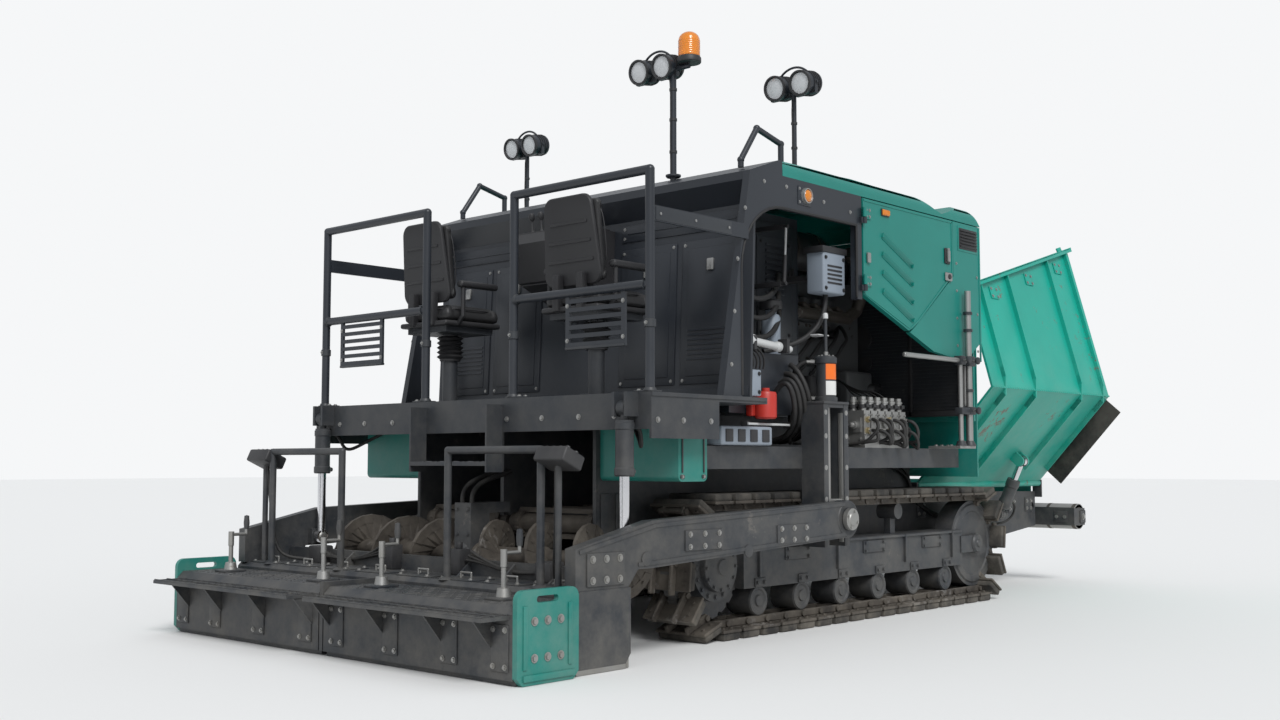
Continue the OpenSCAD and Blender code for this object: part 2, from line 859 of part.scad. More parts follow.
module tow_blocks() {
    color([0.6, 0.6, 0.6])
        both_sides() {
            box([tow_x - 68, tow_x + 68], [column_y[0] + 2, arm_in - 15], [tow_z - 100, tow_z + 100]);
            rod([tow_x, guide_y, tow_z + 90], [tow_x, guide_y, 1200], 20);
            rod([tow_x, arm_in - 25, tow_z], [tow_x, half_w, tow_z], pin_r);
            rod([tow_x, half_w - 24, tow_z], [tow_x, half_w, tow_z], 55);
        }
}

module tow_arms() {
    seat_z = 330 + touch;
    color([0.15, 0.16, 0.17])
        both_sides() {
            across([arm_in, arm_in + arm_t])
                difference() {
                    union() {
                        translate([tow_x, tow_z]) circle(95);
                        polygon([[tow_x, tow_z - 90], [tow_x, tow_z + 90], [-2060, 600],
                            [screed_rear, 500], [screed_rear, seat_z], [screed_front - 10, seat_z],
                            [-2150, 400], [-2060, 400]]);
                    }
                    translate([tow_x, tow_z]) circle(pin_r + shaft_gap);
                }
            box([lift_eye[0] - 40, lift_eye[0] + 40], [arm_in - 39, arm_in + 1],
                [lift_eye[1] - 40, lift_eye[1] + 40]);
        }
}

module lift_barrels() {
    a = [lift_foot[0], lift_y, lift_foot[1]];
    d = [lift_dir[0], 0, lift_dir[1]];
    color([0.2, 0.21, 0.22])
        both_sides()
            difference() {
                union() {
                    rod(a + 52 * d, a + 290 * d, 40);
                    rod(a, a + 60 * d, 19);
                    rod(a - [0, 22, 0], a + [0, 22, 0], 34);
                }
                rod(a + 64 * d, a + 350 * d, 22 + shaft_gap);
                rod(a - [0, 30, 0], a + [0, 30, 0], 20 + shaft_gap);
            }
}

module lift_rods() {
    a = [lift_foot[0], lift_y, lift_foot[1]];
    d = [lift_dir[0], 0, lift_dir[1]];
    color([0.75, 0.75, 0.75])
        both_sides()
            difference() {
                union() {
                    rod(a + 258 * d, a + (lift_len - 20) * d, 22);
                    rod(a + lift_len * d - [0, 18, 0], a + lift_len * d + [0, 18, 0], 34);
                }
                rod(a + lift_len * d - [0, 30, 0], a + lift_len * d + [0, 30, 0], 20);
            }
}

// Screed
module screed_frame() {
    half = screed_w / 2;
    color([0.14, 0.15, 0.16]) {
        across([-half, half])
            polygon([[screed_rear, plate_t + touch], [screed_rear, 310], [screed_rear + 20, 330],
                [screed_front, 330], [screed_front, 60], [screed_front - 30, plate_t + touch]]);
        for (y = [-900, -600, -300, 300, 600, 900])
            across([y - 6, y + 6])
                polygon([[screed_front - 140, 329], [screed_front - 60, 329], [screed_front - 60, 395]]);
        across([80 - half, half - 80])
            polygon([[screed_front, 300], [screed_front + 10, 330], [screed_front - 20, 400],
                [screed_front - 60, 400], [screed_front - 60, 300]]);
        box([ext_rear, screed_rear + 5], [-12, 12], [plate_t, 320]);
        for (x = ext_bar_x)
            rod([x, -half + 20, ext_bar_z], [x, half - 20, ext_bar_z], ext_bar_r);
    }
}

module screed_plates() {
    half = screed_w / 2;
    color([0.35, 0.35, 0.35])
        box([screed_rear, screed_front - 30], [-half, half], [0, plate_t]);
}

module screed_rails() {
    color([0.1, 0.1, 0.11])
        both_sides()
            pipe([[screed_rear + 40, 400, 330 + touch], [screed_rear + 40, 400, 900],
                [screed_rear + 40, 1000, 900], [screed_rear + 40, 1000, 330 + touch]], 17);
}

module extension() {
    half = screed_w / 2;
    color([0.14, 0.15, 0.16])
        difference() {
            union() {
                across([20, half])
                    polygon([[ext_rear, plate_t], [ext_rear, 270], [ext_rear + 30, 300],
                        [ext_front, 300], [ext_front, plate_t]]);
                box([ext_rear + 20, ext_front], [20, half], [0, plate_t + 1]);
                box([rear_x, ext_rear + 2], [60, half - 20], [250, 265]);
            }
            for (x = ext_bar_x)
                rod([x, 0, ext_bar_z], [x, half + 5, ext_bar_z], ext_bar_r + shaft_gap);
        }
}

module extension_left() {
    extension();
}

module extension_right() {
    right_side() extension();
}

module end_gate() {
    half = screed_w / 2;
    color([0.02, 0.4, 0.38])
        across([half + touch, half + 25])
            difference() {
                union() {
                    offset(r = 40) offset(delta = -40)
                        translate([ext_rear, 60]) square([ext_front + 10 - ext_rear, 300]);
                    polygon([[ext_rear, 30], [ext_rear, 200], [ext_front + 10, 200],
                        [ext_front + 10, 30], [ext_front - 20, 0], [ext_rear + 30, 0]]);
                }
                hull()
                    for (x = [-45, 45])
                        translate([(ext_rear + ext_front) / 2 + x, 322]) circle(13);
            }
}

module end_gate_left() {
    end_gate();
}

module end_gate_right() {
    right_side() end_gate();
}

auger_x = -1995;
auger_z = 400;
auger_end = arm_in - 125;

module auger_hanger() {
    color([0.2, 0.2, 0.2])
        difference() {
            union() {
                box([auger_x - 60, auger_x + 60], [-60, 60], [auger_z - 100, auger_z + 250]);
                box([auger_x, chassis_rear - touch], [-60, 60], [auger_z + 200, auger_z + 250]);
            }
            both_sides()
                across([15, 70]) translate([auger_x, auger_z]) circle(30 + shaft_gap);
        }
}

// One auger: a shaft with a helical flight, swept as a chain of short faces
function sweep_faces(n) = concat([[0, 1, 2], [0, 2, 3]],
    [for (i = [0:n - 1]) for (k = [0:3]) let (a = 4 * i + k, b = 4 * i + (k + 1) % 4)
        for (f = [[a, a + 4, b + 4], [a, b + 4, b]]) f],
    [[4 * n + 2, 4 * n + 1, 4 * n], [4 * n + 3, 4 * n + 2, 4 * n]]);

module auger() {
    steps = 20 * auger_turns;
    inner = 38;
    flight_t = 14;
    run = auger_end - 110 - flight_t;
    pts = [for (i = [0:steps]) let (a = i * 18, y = 100 + run * i / steps)
        for (q = [[inner, 0], [auger_r, 0], [auger_r, flight_t], [inner, flight_t]])
            [auger_x + q[0] * cos(a), y + q[1], auger_z + q[0] * sin(a)]];
    color([0.35, 0.34, 0.33]) {
        across([70, auger_end]) translate([auger_x, auger_z]) circle(45);
        across([20, 71]) translate([auger_x, auger_z]) circle(30);
        polyhedron(pts, sweep_faces(steps));
    }
}

module auger_left() {
    auger();
}

module auger_right() {
    right_side() auger();
}

chassis();
frame_plates();
conveyor_deck();
front_beam();
track_left();
track_right();
track_frame_left();
track_frame_right();
engine();
cabinet();
side_deck();
bonnet();
bonnet_front();
side_door_left();
side_door_right();
cowl();
console();
floor();
tanks();
ladders();
seat_post_left();
seat_post_right();
seat_left();
seat_right();
guard_rail();
lamp_masts();
beacon_mast();
beacon();
exhaust();
valve_block();
guide_rods();
hopper_wall();
conveyor_left();
conveyor_right();
wing_left();
wing_right();
wing_barrel_left();
wing_barrel_right();
wing_rod_left();
wing_rod_right();
push_bar();
push_roller_left();
push_roller_right();
levelling_rams();
tow_blocks();
tow_arms();
lift_barrels();
lift_rods();
screed_frame();
screed_plates();
screed_rails();
extension_left();
extension_right();
end_gate_left();
end_gate_right();
auger_hanger();
auger_left();
auger_right();
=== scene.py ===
import itertools
import math
import bpy
import bmesh
from mathutils import Matrix, Vector


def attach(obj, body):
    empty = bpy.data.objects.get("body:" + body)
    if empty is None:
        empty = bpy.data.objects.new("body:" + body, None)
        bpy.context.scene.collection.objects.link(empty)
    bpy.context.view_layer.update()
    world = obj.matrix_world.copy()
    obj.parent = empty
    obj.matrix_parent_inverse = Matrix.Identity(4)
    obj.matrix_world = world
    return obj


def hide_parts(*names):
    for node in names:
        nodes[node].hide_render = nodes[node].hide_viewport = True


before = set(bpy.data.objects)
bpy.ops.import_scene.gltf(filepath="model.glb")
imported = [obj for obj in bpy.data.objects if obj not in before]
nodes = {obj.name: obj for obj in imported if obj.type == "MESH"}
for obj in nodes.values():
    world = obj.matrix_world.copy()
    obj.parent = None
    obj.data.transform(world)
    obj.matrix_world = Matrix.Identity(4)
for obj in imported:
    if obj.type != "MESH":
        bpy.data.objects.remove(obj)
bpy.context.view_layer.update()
scene = bpy.context.scene
scene.view_settings.view_transform = "Standard"

# Camera at the photograph's standpoint, behind the right rear corner at eye level
view = {"position": (-6.36, -5.10, 0.85), "heading": 42.4, "pitch": 4.3, "lens": 38.0}
cameraData = bpy.data.cameras.new("camera")
cameraData.lens = view["lens"]
camera = bpy.data.objects.new("camera", cameraData)
camera.location = view["position"]
camera.rotation_euler = (math.radians(90 + view["pitch"]), 0, math.radians(view["heading"] - 90))
scene.collection.objects.link(camera)
scene.camera = camera

# Soft studio light on a plain pale floor
studio = {"skyColor": (0.93, 0.96, 1.0, 1), "skyStrength": 0.62, "seenColor": (0.92, 0.93, 0.94, 1),
          "sunStrength": 2.1, "sunAngle": 25, "sunTurn": (46, -12, -18), "floorColor": (0.82, 0.82, 0.81, 1),
          "floorRough": 0.9, "floorSize": 60, "floorLevel": -0.002}


def setInputs(node, values):
    for label, value in values.items():
        node.inputs[label].default_value = value
    return node


def makeStudio():
    world = bpy.data.worlds.new("studio")
    scene.world = world
    world.use_nodes = True
    tree = world.node_tree
    tree.nodes.clear()
    light = setInputs(tree.nodes.new("ShaderNodeBackground"),
                      {"Color": studio["skyColor"], "Strength": studio["skyStrength"]})
    seen = setInputs(tree.nodes.new("ShaderNodeBackground"), {"Color": studio["seenColor"], "Strength": 1.0})
    path = tree.nodes.new("ShaderNodeLightPath")
    anyRay = tree.nodes.new("ShaderNodeMath")
    anyRay.operation = "MAXIMUM"
    mix = tree.nodes.new("ShaderNodeMixShader")
    out = tree.nodes.new("ShaderNodeOutputWorld")
    for start, end in ((path.outputs["Is Camera Ray"], anyRay.inputs[0]),
                       (path.outputs["Is Transmission Ray"], anyRay.inputs[1]),
                       (anyRay.outputs[0], mix.inputs[0]), (light.outputs[0], mix.inputs[1]),
                       (seen.outputs[0], mix.inputs[2]), (mix.outputs[0], out.inputs[0])):
        tree.links.new(start, end)
    sunData = bpy.data.lights.new("sun", "SUN")
    sunData.energy = studio["sunStrength"]
    sunData.angle = math.radians(studio["sunAngle"])
    sun = bpy.data.objects.new("sun", sunData)
    sun.rotation_euler = [math.radians(turn) for turn in studio["sunTurn"]]
    scene.collection.objects.link(sun)
    form = bmesh.new()
    bmesh.ops.create_grid(form, x_segments=1, y_segments=1, size=studio["floorSize"])
    mesh = bpy.data.meshes.new("floorPlane")
    form.to_mesh(mesh)
    form.free()
    floor = bpy.data.objects.new("floorPlane", mesh)
    floor.location.z = studio["floorLevel"]
    scene.collection.objects.link(floor)
    paper = bpy.data.materials.new("floorPaper")
    paper.use_nodes = True
    setInputs(paper.node_tree.nodes["Principled BSDF"],
              {"Base Color": studio["floorColor"], "Roughness": studio["floorRough"]})
    mesh.materials.append(paper)


makeStudio()
print("studio and camera ready")


# Shared effect: paint or steel with tone drift, chipped patches and settled dust
weatherForm = {"tone": {"scale": 1.3, "detail": 4, "range": (0.3, 0.7, 0.86, 1.1)},
               "chips": {"scale": 17, "detail": 9, "rough": 0.72}, "patches": {"scale": 2.6, "detail": 5},
               "chipStart": 0.46, "chipShare": 0.25, "chipGain": 18,
               "dustHeights": (1.7, 0.0), "dustOnTop": (0.3, 1.0, 0.0, 0.6),
               "clouds": {"scale": 5.5, "detail": 8, "rough": 0.7, "range": (0.36, 0.66)},
               "dustRough": 0.35, "chipRough": 0.15, "grain": {"scale": 140, "detail": 3}, "grainHeight": 0.25}


def addNoise(tree, coords, values):
    noise = setInputs(tree.nodes.new("ShaderNodeTexNoise"),
                      {"Scale": values["scale"], "Detail": values["detail"], "Roughness": values.get("rough", 0.6)})
    tree.links.new(coords, noise.inputs["Vector"])
    if "range" in values:
        return addRange(tree, noise.outputs["Fac"], *values["range"])
    return noise.outputs["Fac"]


def addRange(tree, value, low, high, start=0.0, end=1.0):
    span = setInputs(tree.nodes.new("ShaderNodeMapRange"),
                     {"From Min": low, "From Max": high, "To Min": start, "To Max": end})
    tree.links.new(value, span.inputs["Value"])
    return span.outputs["Result"]


def addMath(tree, operation, first, second, clamp=False):
    step = tree.nodes.new("ShaderNodeMath")
    step.operation = operation
    step.use_clamp = clamp
    for index, item in enumerate((first, second)):
        if isinstance(item, (int, float)):
            step.inputs[index].default_value = item
        else:
            tree.links.new(item, step.inputs[index])
    return step.outputs[0]


def addMix(tree, factor, first, second):
    mix = tree.nodes.new("ShaderNodeMix")
    mix.data_type = "RGBA"
    for item, index in ((factor, 0), (first, 6), (second, 7)):  # 6 and 7 are the colour sockets
        tree.links.new(item, mix.inputs[index])
    return mix.outputs[2]


def makeWeather():
    values = weatherForm
    tree = bpy.data.node_groups.new("weather", "ShaderNodeTree")
    for label, kind, value in (("Base", "Color", (0.5, 0.5, 0.5, 1)), ("Worn", "Color", (0.2, 0.2, 0.2, 1)),
                               ("Dust", "Color", (0.42, 0.39, 0.34, 1)), ("Worn Amount", "Float", 0.2),
                               ("Dust Amount", "Float", 0.3), ("Roughness", "Float", 0.45)):
        socket = tree.interface.new_socket(label, in_out="INPUT", socket_type="NodeSocket" + kind)
        socket.default_value = value
    for label, kind in (("Color", "Color"), ("Roughness", "Float"), ("Height", "Float")):
        tree.interface.new_socket(label, in_out="OUTPUT", socket_type="NodeSocket" + kind)
    source = tree.nodes.new("NodeGroupInput").outputs
    target = tree.nodes.new("NodeGroupOutput").inputs
    coords = tree.nodes.new("ShaderNodeTexCoord").outputs["Object"]
    toned = tree.nodes.new("ShaderNodeVectorMath")
    toned.operation = "SCALE"
    tree.links.new(source["Base"], toned.inputs[0])
    tree.links.new(addNoise(tree, coords, values["tone"]), toned.inputs["Scale"])
    both = addMath(tree, "MULTIPLY", addNoise(tree, coords, values["chips"]), addNoise(tree, coords, values["patches"]))
    edge = addMath(tree, "SUBTRACT", values["chipStart"],
                   addMath(tree, "MULTIPLY", source["Worn Amount"], values["chipShare"]))
    chipped = addMath(tree, "MULTIPLY", addMath(tree, "SUBTRACT", both, edge), values["chipGain"], clamp=True)
    wornColor = addMix(tree, chipped, toned.outputs[0], source["Worn"])
    place, normal = (tree.nodes.new("ShaderNodeSeparateXYZ") for index in range(2))
    tree.links.new(coords, place.inputs[0])
    tree.links.new(tree.nodes.new("ShaderNodeNewGeometry").outputs["Normal"], normal.inputs[0])
    settled = addMath(tree, "MAXIMUM", addRange(tree, place.outputs["Z"], *values["dustHeights"]),
                      addRange(tree, normal.outputs["Z"], *values["dustOnTop"]))
    dusty = addMath(tree, "MULTIPLY", addMath(tree, "MULTIPLY", settled, addNoise(tree, coords, values["clouds"])),
                    source["Dust Amount"], clamp=True)
    tree.links.new(addMix(tree, dusty, wornColor, source["Dust"]), target["Color"])
    rough = addMath(tree, "ADD", source["Roughness"], addMath(tree, "MULTIPLY", dusty, values["dustRough"]))
    rough = addMath(tree, "ADD", rough, addMath(tree, "MULTIPLY", chipped, values["chipRough"]), clamp=True)
    tree.links.new(rough, target["Roughness"])
    grain = addMath(tree, "MULTIPLY", addNoise(tree, coords, values["grain"]), values["grainHeight"])
    tree.links.new(addMath(tree, "SUBTRACT", grain, chipped), target["Height"])
    return tree


weather = makeWeather()

# Each finish: clean colour, worn colour, dust colour, their amounts, roughness, metal share and bump
finishes = {
    # This body teal is darkened to the paint's colour in shade: painted shade on every piece that takes it
    "shadedTealPaint": ((0.006, 0.2, 0.165), (0.006, 0.12, 0.1), (0.3, 0.34, 0.3), 0.25, 0.24, 0.38, 0.0, 0.12),
    # This wing teal is the same teal paint brightened to its sunlit colour: painted sunlight
    "sunlitTealPaint": ((0.005, 0.34, 0.26), (0.16, 0.13, 0.1), (0.4, 0.42, 0.38), 0.5, 0.4, 0.42, 0.0, 0.2),
    "darkPaint": ((0.028, 0.032, 0.038), (0.1, 0.095, 0.09), (0.2, 0.185, 0.16), 0.35, 0.45, 0.45, 0.0, 0.18),
    "cowlPaint": ((0.022, 0.026, 0.033), (0.06, 0.06, 0.06), (0.16, 0.16, 0.16), 0.1, 0.25, 0.35, 0.0, 0.06),
    "trackSteel": ((0.06, 0.052, 0.045), (0.2, 0.19, 0.18), (0.25, 0.22, 0.18), 0.6, 0.6, 0.62, 0.35, 0.35),
    "bareSteel": ((0.38, 0.38, 0.37), (0.14, 0.1, 0.07), (0.28, 0.25, 0.2), 0.35, 0.4, 0.4, 0.8, 0.1),
    "chromeRod": ((0.75, 0.75, 0.77), (0.5, 0.5, 0.5), (0.4, 0.38, 0.35), 0.0, 0.15, 0.14, 1.0, 0.0),
    "engineIron": ((0.11, 0.115, 0.12), (0.05, 0.045, 0.04), (0.2, 0.18, 0.15), 0.5, 0.4, 0.6, 0.3, 0.3),
    "blackPlastic": ((0.022, 0.022, 0.024), (0.05, 0.05, 0.05), (0.16, 0.155, 0.15), 0.1, 0.3, 0.5, 0.0, 0.1),
    "seatVinyl": ((0.02, 0.02, 0.021), (0.06, 0.058, 0.055), (0.14, 0.135, 0.13), 0.25, 0.35, 0.48, 0.0, 0.25),
    "rubberHose": ((0.012, 0.012, 0.013), (0.04, 0.04, 0.04), (0.16, 0.15, 0.13), 0.2, 0.35, 0.6, 0.0, 0.1),
    "rubberPad": ((0.02, 0.019, 0.018), (0.07, 0.065, 0.06), (0.2, 0.18, 0.15), 0.4, 0.7, 0.8, 0.0, 0.4),
    "greyPaint": ((0.24, 0.28, 0.33), (0.09, 0.09, 0.1), (0.3, 0.28, 0.25), 0.3, 0.35, 0.45, 0.0, 0.1),
    "paleGrey": ((0.55, 0.56, 0.56), (0.25, 0.24, 0.22), (0.45, 0.42, 0.37), 0.25, 0.3, 0.4, 0.0, 0.08),
    "orangeLabel": ((0.85, 0.16, 0.01), (0.6, 0.3, 0.15), (0.5, 0.4, 0.3), 0.15, 0.2, 0.4, 0.0, 0.02),
    "whiteLabel": ((0.72, 0.72, 0.7), (0.4, 0.38, 0.35), (0.5, 0.46, 0.4), 0.15, 0.25, 0.4, 0.0, 0.02),
    "redPaint": ((0.45, 0.02, 0.012), (0.2, 0.03, 0.02), (0.35, 0.2, 0.16), 0.3, 0.3, 0.4, 0.0, 0.08),
    "brassFitting": ((0.62, 0.5, 0.28), (0.3, 0.25, 0.16), (0.35, 0.3, 0.22), 0.3, 0.3, 0.35, 0.9, 0.05),
}
bumpDepth = 0.004


def makeMaterial(name):
    material = bpy.data.materials.new(name)
    material.use_nodes = True
    return material, material.node_tree, material.node_tree.nodes["Principled BSDF"]


def makeFinish(name, base, worn, dust, wornAmount, dustAmount, rough, metal, bumpStrength):
    material, tree, surface = makeMaterial(name)
    effect = tree.nodes.new("ShaderNodeGroup")
    effect.node_tree = weather
    setInputs(effect, {"Base": (*base, 1), "Worn": (*worn, 1), "Dust": (*dust, 1), "Worn Amount": wornAmount,
                       "Dust Amount": dustAmount, "Roughness": rough})
    tree.links.new(effect.outputs["Color"], surface.inputs["Base Color"])
    tree.links.new(effect.outputs["Roughness"], surface.inputs["Roughness"])
    surface.inputs["Metallic"].default_value = metal
    if bumpStrength:
        bump = setInputs(tree.nodes.new("ShaderNodeBump"), {"Strength": bumpStrength, "Distance": bumpDepth})
        tree.links.new(effect.outputs["Height"], bump.inputs["Height"])
        tree.links.new(bump.outputs["Normal"], surface.inputs["Normal"])
    return material


# Lenses: clear glass for the lamps, amber for the beacon and the markers
def makeLens(name, color, rough, transmission, coat):
    material, _, surface = makeMaterial(name)
    setInputs(surface, {"Base Color": (*color, 1), "Roughness": rough, "Transmission Weight": transmission,
                        "Coat Weight": coat})
    return material


finish = {name: makeFinish(name, *values) for name, values in finishes.items()}
finish["lampGlass"] = makeLens("lampGlass", (0.86, 0.88, 0.9), 0.08, 0.35, 0.5)
finish["amberLens"] = makeLens("amberLens", (0.9, 0.28, 0.01), 0.22, 0.3, 0.6)

nodeFinish = {
    # the body teal carries painted shade and the wing teal painted sunlight; both are one teal paint
    "shadedTealPaint": ["bonnet", "bonnet_front", "side_door_left", "side_door_right", "hopper_wall", "tanks",
                  "end_gate_left", "end_gate_right"],
    "sunlitTealPaint": ["wing_left", "wing_right"],
    "cowlPaint": ["cowl", "cabinet", "beacon_mast", "lamp_masts", "guard_rail"],
    "trackSteel": ["track_left", "track_right", "auger_left", "auger_right", "conveyor_left", "conveyor_right"],
    "bareSteel": ["tow_blocks", "screed_plates", "guide_rods", "valve_block", "push_roller_left",
                  "push_roller_right", "exhaust"],
    "chromeRod": ["wing_rod_left", "wing_rod_right", "lift_rods"],
    "engineIron": ["engine"],
    "blackPlastic": ["console"],
    "seatVinyl": ["seat_left", "seat_right"],
    "amberLens": ["beacon"],
}
chosen = {node: name for name, group in nodeFinish.items() for node in group}
for node, thing in nodes.items():
    if thing.type == "MESH":
        thing.data.materials.clear()
        thing.data.materials.append(finish[chosen.get(node, "darkPaint")])
print("finishes on", len(nodes), "nodes")


# Making shapes. The usual directions: z up, y away from the middle, x towards the hopper
up, outward, forward = (0, 0, 1), (0, 1, 0), (1, 0, 0)
down, inward, rearward = (0, 0, -1), (0, -1, 0), (-1, 0, 0)
sides = {"left": 1, "right": -1}
mergeGap = 0.00001


def newForms(count):
    return [bmesh.new() for index in range(count)]


# Every point whose coordinates are among the given ones
def spots(*choices):
    return [Vector(place) for place in itertools.product(*(item if isinstance(item, (tuple, list)) else (item,)
                                                           for item in choices))]


def facing(direction, place=(0, 0, 0), axis="Z", beside="Y"):
    return Matrix.Translation(place) @ Vector(direction).to_track_quat(axis, beside).to_matrix().to_4x4()


def turned(degrees, axis, place=(0, 0, 0)):
    return Matrix.Translation(place) @ Matrix.Rotation(math.radians(degrees), 4, axis)


def bevelEdges(form, edges, width, segments=2):
    bmesh.ops.bevel(form, geom=edges, offset=width, offset_type="OFFSET", segments=segments,
                    affect="EDGES", profile=0.5, material=-1)


def addBox(form, low, high, edge=0.0, place=None, segments=2):
    size = [abs(high[i] - low[i]) for i in range(3)]
    middle = [(high[i] + low[i]) / 2 for i in range(3)]
    matrix = (place or Matrix()) @ Matrix.Translation(middle) @ Matrix.Diagonal((*size, 1))
    made = bmesh.ops.create_cube(form, size=1, matrix=matrix)
    if edge:
        bevelEdges(form, list({link for vert in made["verts"] for link in vert.link_edges}), edge, segments)


# A box round a point, with the half sizes given
def addBlock(form, middle, half, edge=0.0, place=None, segments=2):
    addBox(form, Vector(middle) - Vector(half), Vector(middle) + Vector(half), edge, place, segments)


# A flat strip along a line on the face of a plate
def addStrip(form, start, end, wide, high):
    start, end = Vector(start), Vector(end)
    matrix = facing(end - start, (start + end) / 2, "X", "Z") @ Matrix.Diagonal(((end - start).length, wide, high, 1))
    bmesh.ops.create_cube(form, size=1, matrix=matrix)


# A flat outline pushed along a step
def addPrism(form, corners, step):
    face = form.faces.new([form.verts.new(corner) for corner in corners])
    made = bmesh.ops.extrude_face_region(form, geom=[face])["geom"]
    bmesh.ops.translate(form, vec=step, verts=[part for part in made if isinstance(part, bmesh.types.BMVert)])


def addRound(form, start, end, radius, sides=20, edge=0.0):
    start, end = Vector(start), Vector(end)
    along = end - start
    made = bmesh.ops.create_cone(form, cap_ends=True, segments=sides, radius1=radius, radius2=radius,
                                 depth=along.length, matrix=facing(along, (start + end) / 2))
    if edge:
        rims = [link for link in {e for v in made["verts"] for e in v.link_edges}
                if abs((link.verts[0].co - link.verts[1].co).normalized().dot(along.normalized())) < 0.5]
        bevelEdges(form, rims, edge)


# A profile of (radius, distance) turned round a line from start along direction
def addLathe(form, profile, start, direction=up, sides=28):
    verts = [form.verts.new((radius, 0, height)) for radius, height in profile]
    edges = [form.edges.new(pair) for pair in zip(verts, verts[1:])]
    bmesh.ops.spin(form, geom=verts + edges, cent=(0, 0, 0), axis=up, dvec=(0, 0, 0),
                   angle=math.tau, steps=sides, use_merge=True)
    faces = {face for vert in verts for face in vert.link_faces}
    reach = set(faces)
    while faces:
        faces = {near for face in faces for link in face.edges for near in link.link_faces} - reach
        reach |= faces
    whole = list({vert for face in reach for vert in face.verts})
    bmesh.ops.remove_doubles(form, verts=whole, dist=mergeGap)
    bmesh.ops.transform(form, matrix=facing(direction, start), verts=[vert for vert in whole if vert.is_valid])


# Profile of a collar that lips over a round piece
def collar(inner, outer, height, lip=0.001):
    return [(inner, 0), (outer, lip), (outer, height - lip), (inner, height)]


def addBolts(form, points, direction, radius=0.011, height=0.008):
    way = Vector(direction).normalized()
    for point in points:
        point = Vector(point)
        addRound(form, point, point + way * height * 0.3, radius * 1.5, sides=12)
        addRound(form, point, point + way * height, radius, sides=6)


def ringPoints(center, radius, count, normal=up, start=0.0):
    turn = facing(normal).to_3x3()
    return [Vector(center) + turn @ Vector((radius * math.cos(start + math.tau * i / count),
                                            radius * math.sin(start + math.tau * i / count), 0))
            for i in range(count)]


# Straight runs of tube with a ball at each bend
def addPipe(form, points, radius, sides=14):
    for start, end in zip(points, points[1:]):
        addRound(form, start, end, radius, sides=sides)
    for point in points[1:-1]:
        bmesh.ops.create_icosphere(form, subdivisions=2, radius=radius * 1.01, matrix=Matrix.Translation(point))


def copyAcross(form):
    made = bmesh.ops.duplicate(form, geom=form.verts[:] + form.edges[:] + form.faces[:])["geom"]
    bmesh.ops.scale(form, vec=(1, -1, 1), verts=[part for part in made if isinstance(part, bmesh.types.BMVert)])
    bmesh.ops.reverse_faces(form, faces=[part for part in made if isinstance(part, bmesh.types.BMFace)])


def placePiece(name, data, finishName, body):
    data.materials.append(finish[finishName])
    piece = bpy.data.objects.new(name, data)
    scene.collection.objects.link(piece)
    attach(piece, body)
    return piece


# A piece with a side is modelled on the left and takes that side's name and body
def makePiece(form, name, finishName, body="tractor", slot=None, side=None, replaced=None, smooth=34):
    if side:
        name, body = name + "_" + side, body + "_" + side
        bmesh.ops.scale(form, vec=(1, sides[side], 1), verts=form.verts)
    bmesh.ops.recalc_face_normals(form, faces=form.faces)
    mesh = bpy.data.meshes.new(name)
    form.to_mesh(mesh)
    form.free()
    mesh.shade_smooth()
    mesh.set_sharp_from_angle(angle=math.radians(smooth))
    piece = placePiece(name, mesh, finishName, body)
    if replaced:
        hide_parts(replaced + "_" + side if side else replaced)
    return piece


# Ends a group of forms, each given with its name and finish, on one side, both sides or as it stands
def makePieces(*rows, body="tractor", side=None, both=False):
    for form, name, finishName, *slot in rows:
        if both:
            copyAcross(form)
        makePiece(form, name, finishName, body, *slot, side=side)


def bothSides(*runs):
    return [[(x, way * y, z) for x, y, z in run] for way in (1, -1) for run in runs]


# Fixed hoses and wires: one curve with a smooth run for each path
def makeHoses(name, paths, radius, body="tractor", finishName="rubberHose"):
    curve = bpy.data.curves.new(name, "CURVE")
    curve.dimensions = "3D"
    curve.bevel_depth = radius
    curve.bevel_resolution = 3
    curve.resolution_u = 8
    curve.use_fill_caps = True
    for path in paths:
        run = curve.splines.new("NURBS")
        run.points.add(len(path) - 1)
        for point, place in zip(run.points, path):
            point.co = (*place, 1)
        run.order_u = 4 if len(path) > 3 else 3
        run.use_endpoint_u = True
    return placePiece(name, curve, finishName, body)


# Tracks: steel shoes with rubber pads on a chain of links
track = {"base": 2.55, "radius": 0.28, "outer": 0.348, "rearAxle": -1.3, "middle": 0.875, "halfWidth": 0.155,
         "count": 44, "padHeight": 0.036, "plate": 0.014, "padGap": 0.014, "plateGap": 0.009, "linkGap": 0.004,
         "linkY": 0.062, "linkHalf": 0.011, "linkLow": -0.018, "linkTop": 0.02, "pinRadius": 0.014, "boltY": 0.118}


def trackPlace(along):
    base, radius, rear = track["base"], track["radius"], track["rearAxle"]
    bend = math.pi * radius
    if along < base:
        return rear + base - along, 0.0, math.pi
    if along < base + bend:
        turn = (along - base) / radius
        return rear - radius * math.sin(turn), radius - radius * math.cos(turn), math.pi - turn
    if along < 2 * base + bend:
        return rear + along - base - bend, 2 * radius, 0.0
    turn = (along - 2 * base - bend) / radius
    return rear + base + radius * math.sin(turn), radius + radius * math.cos(turn), -turn


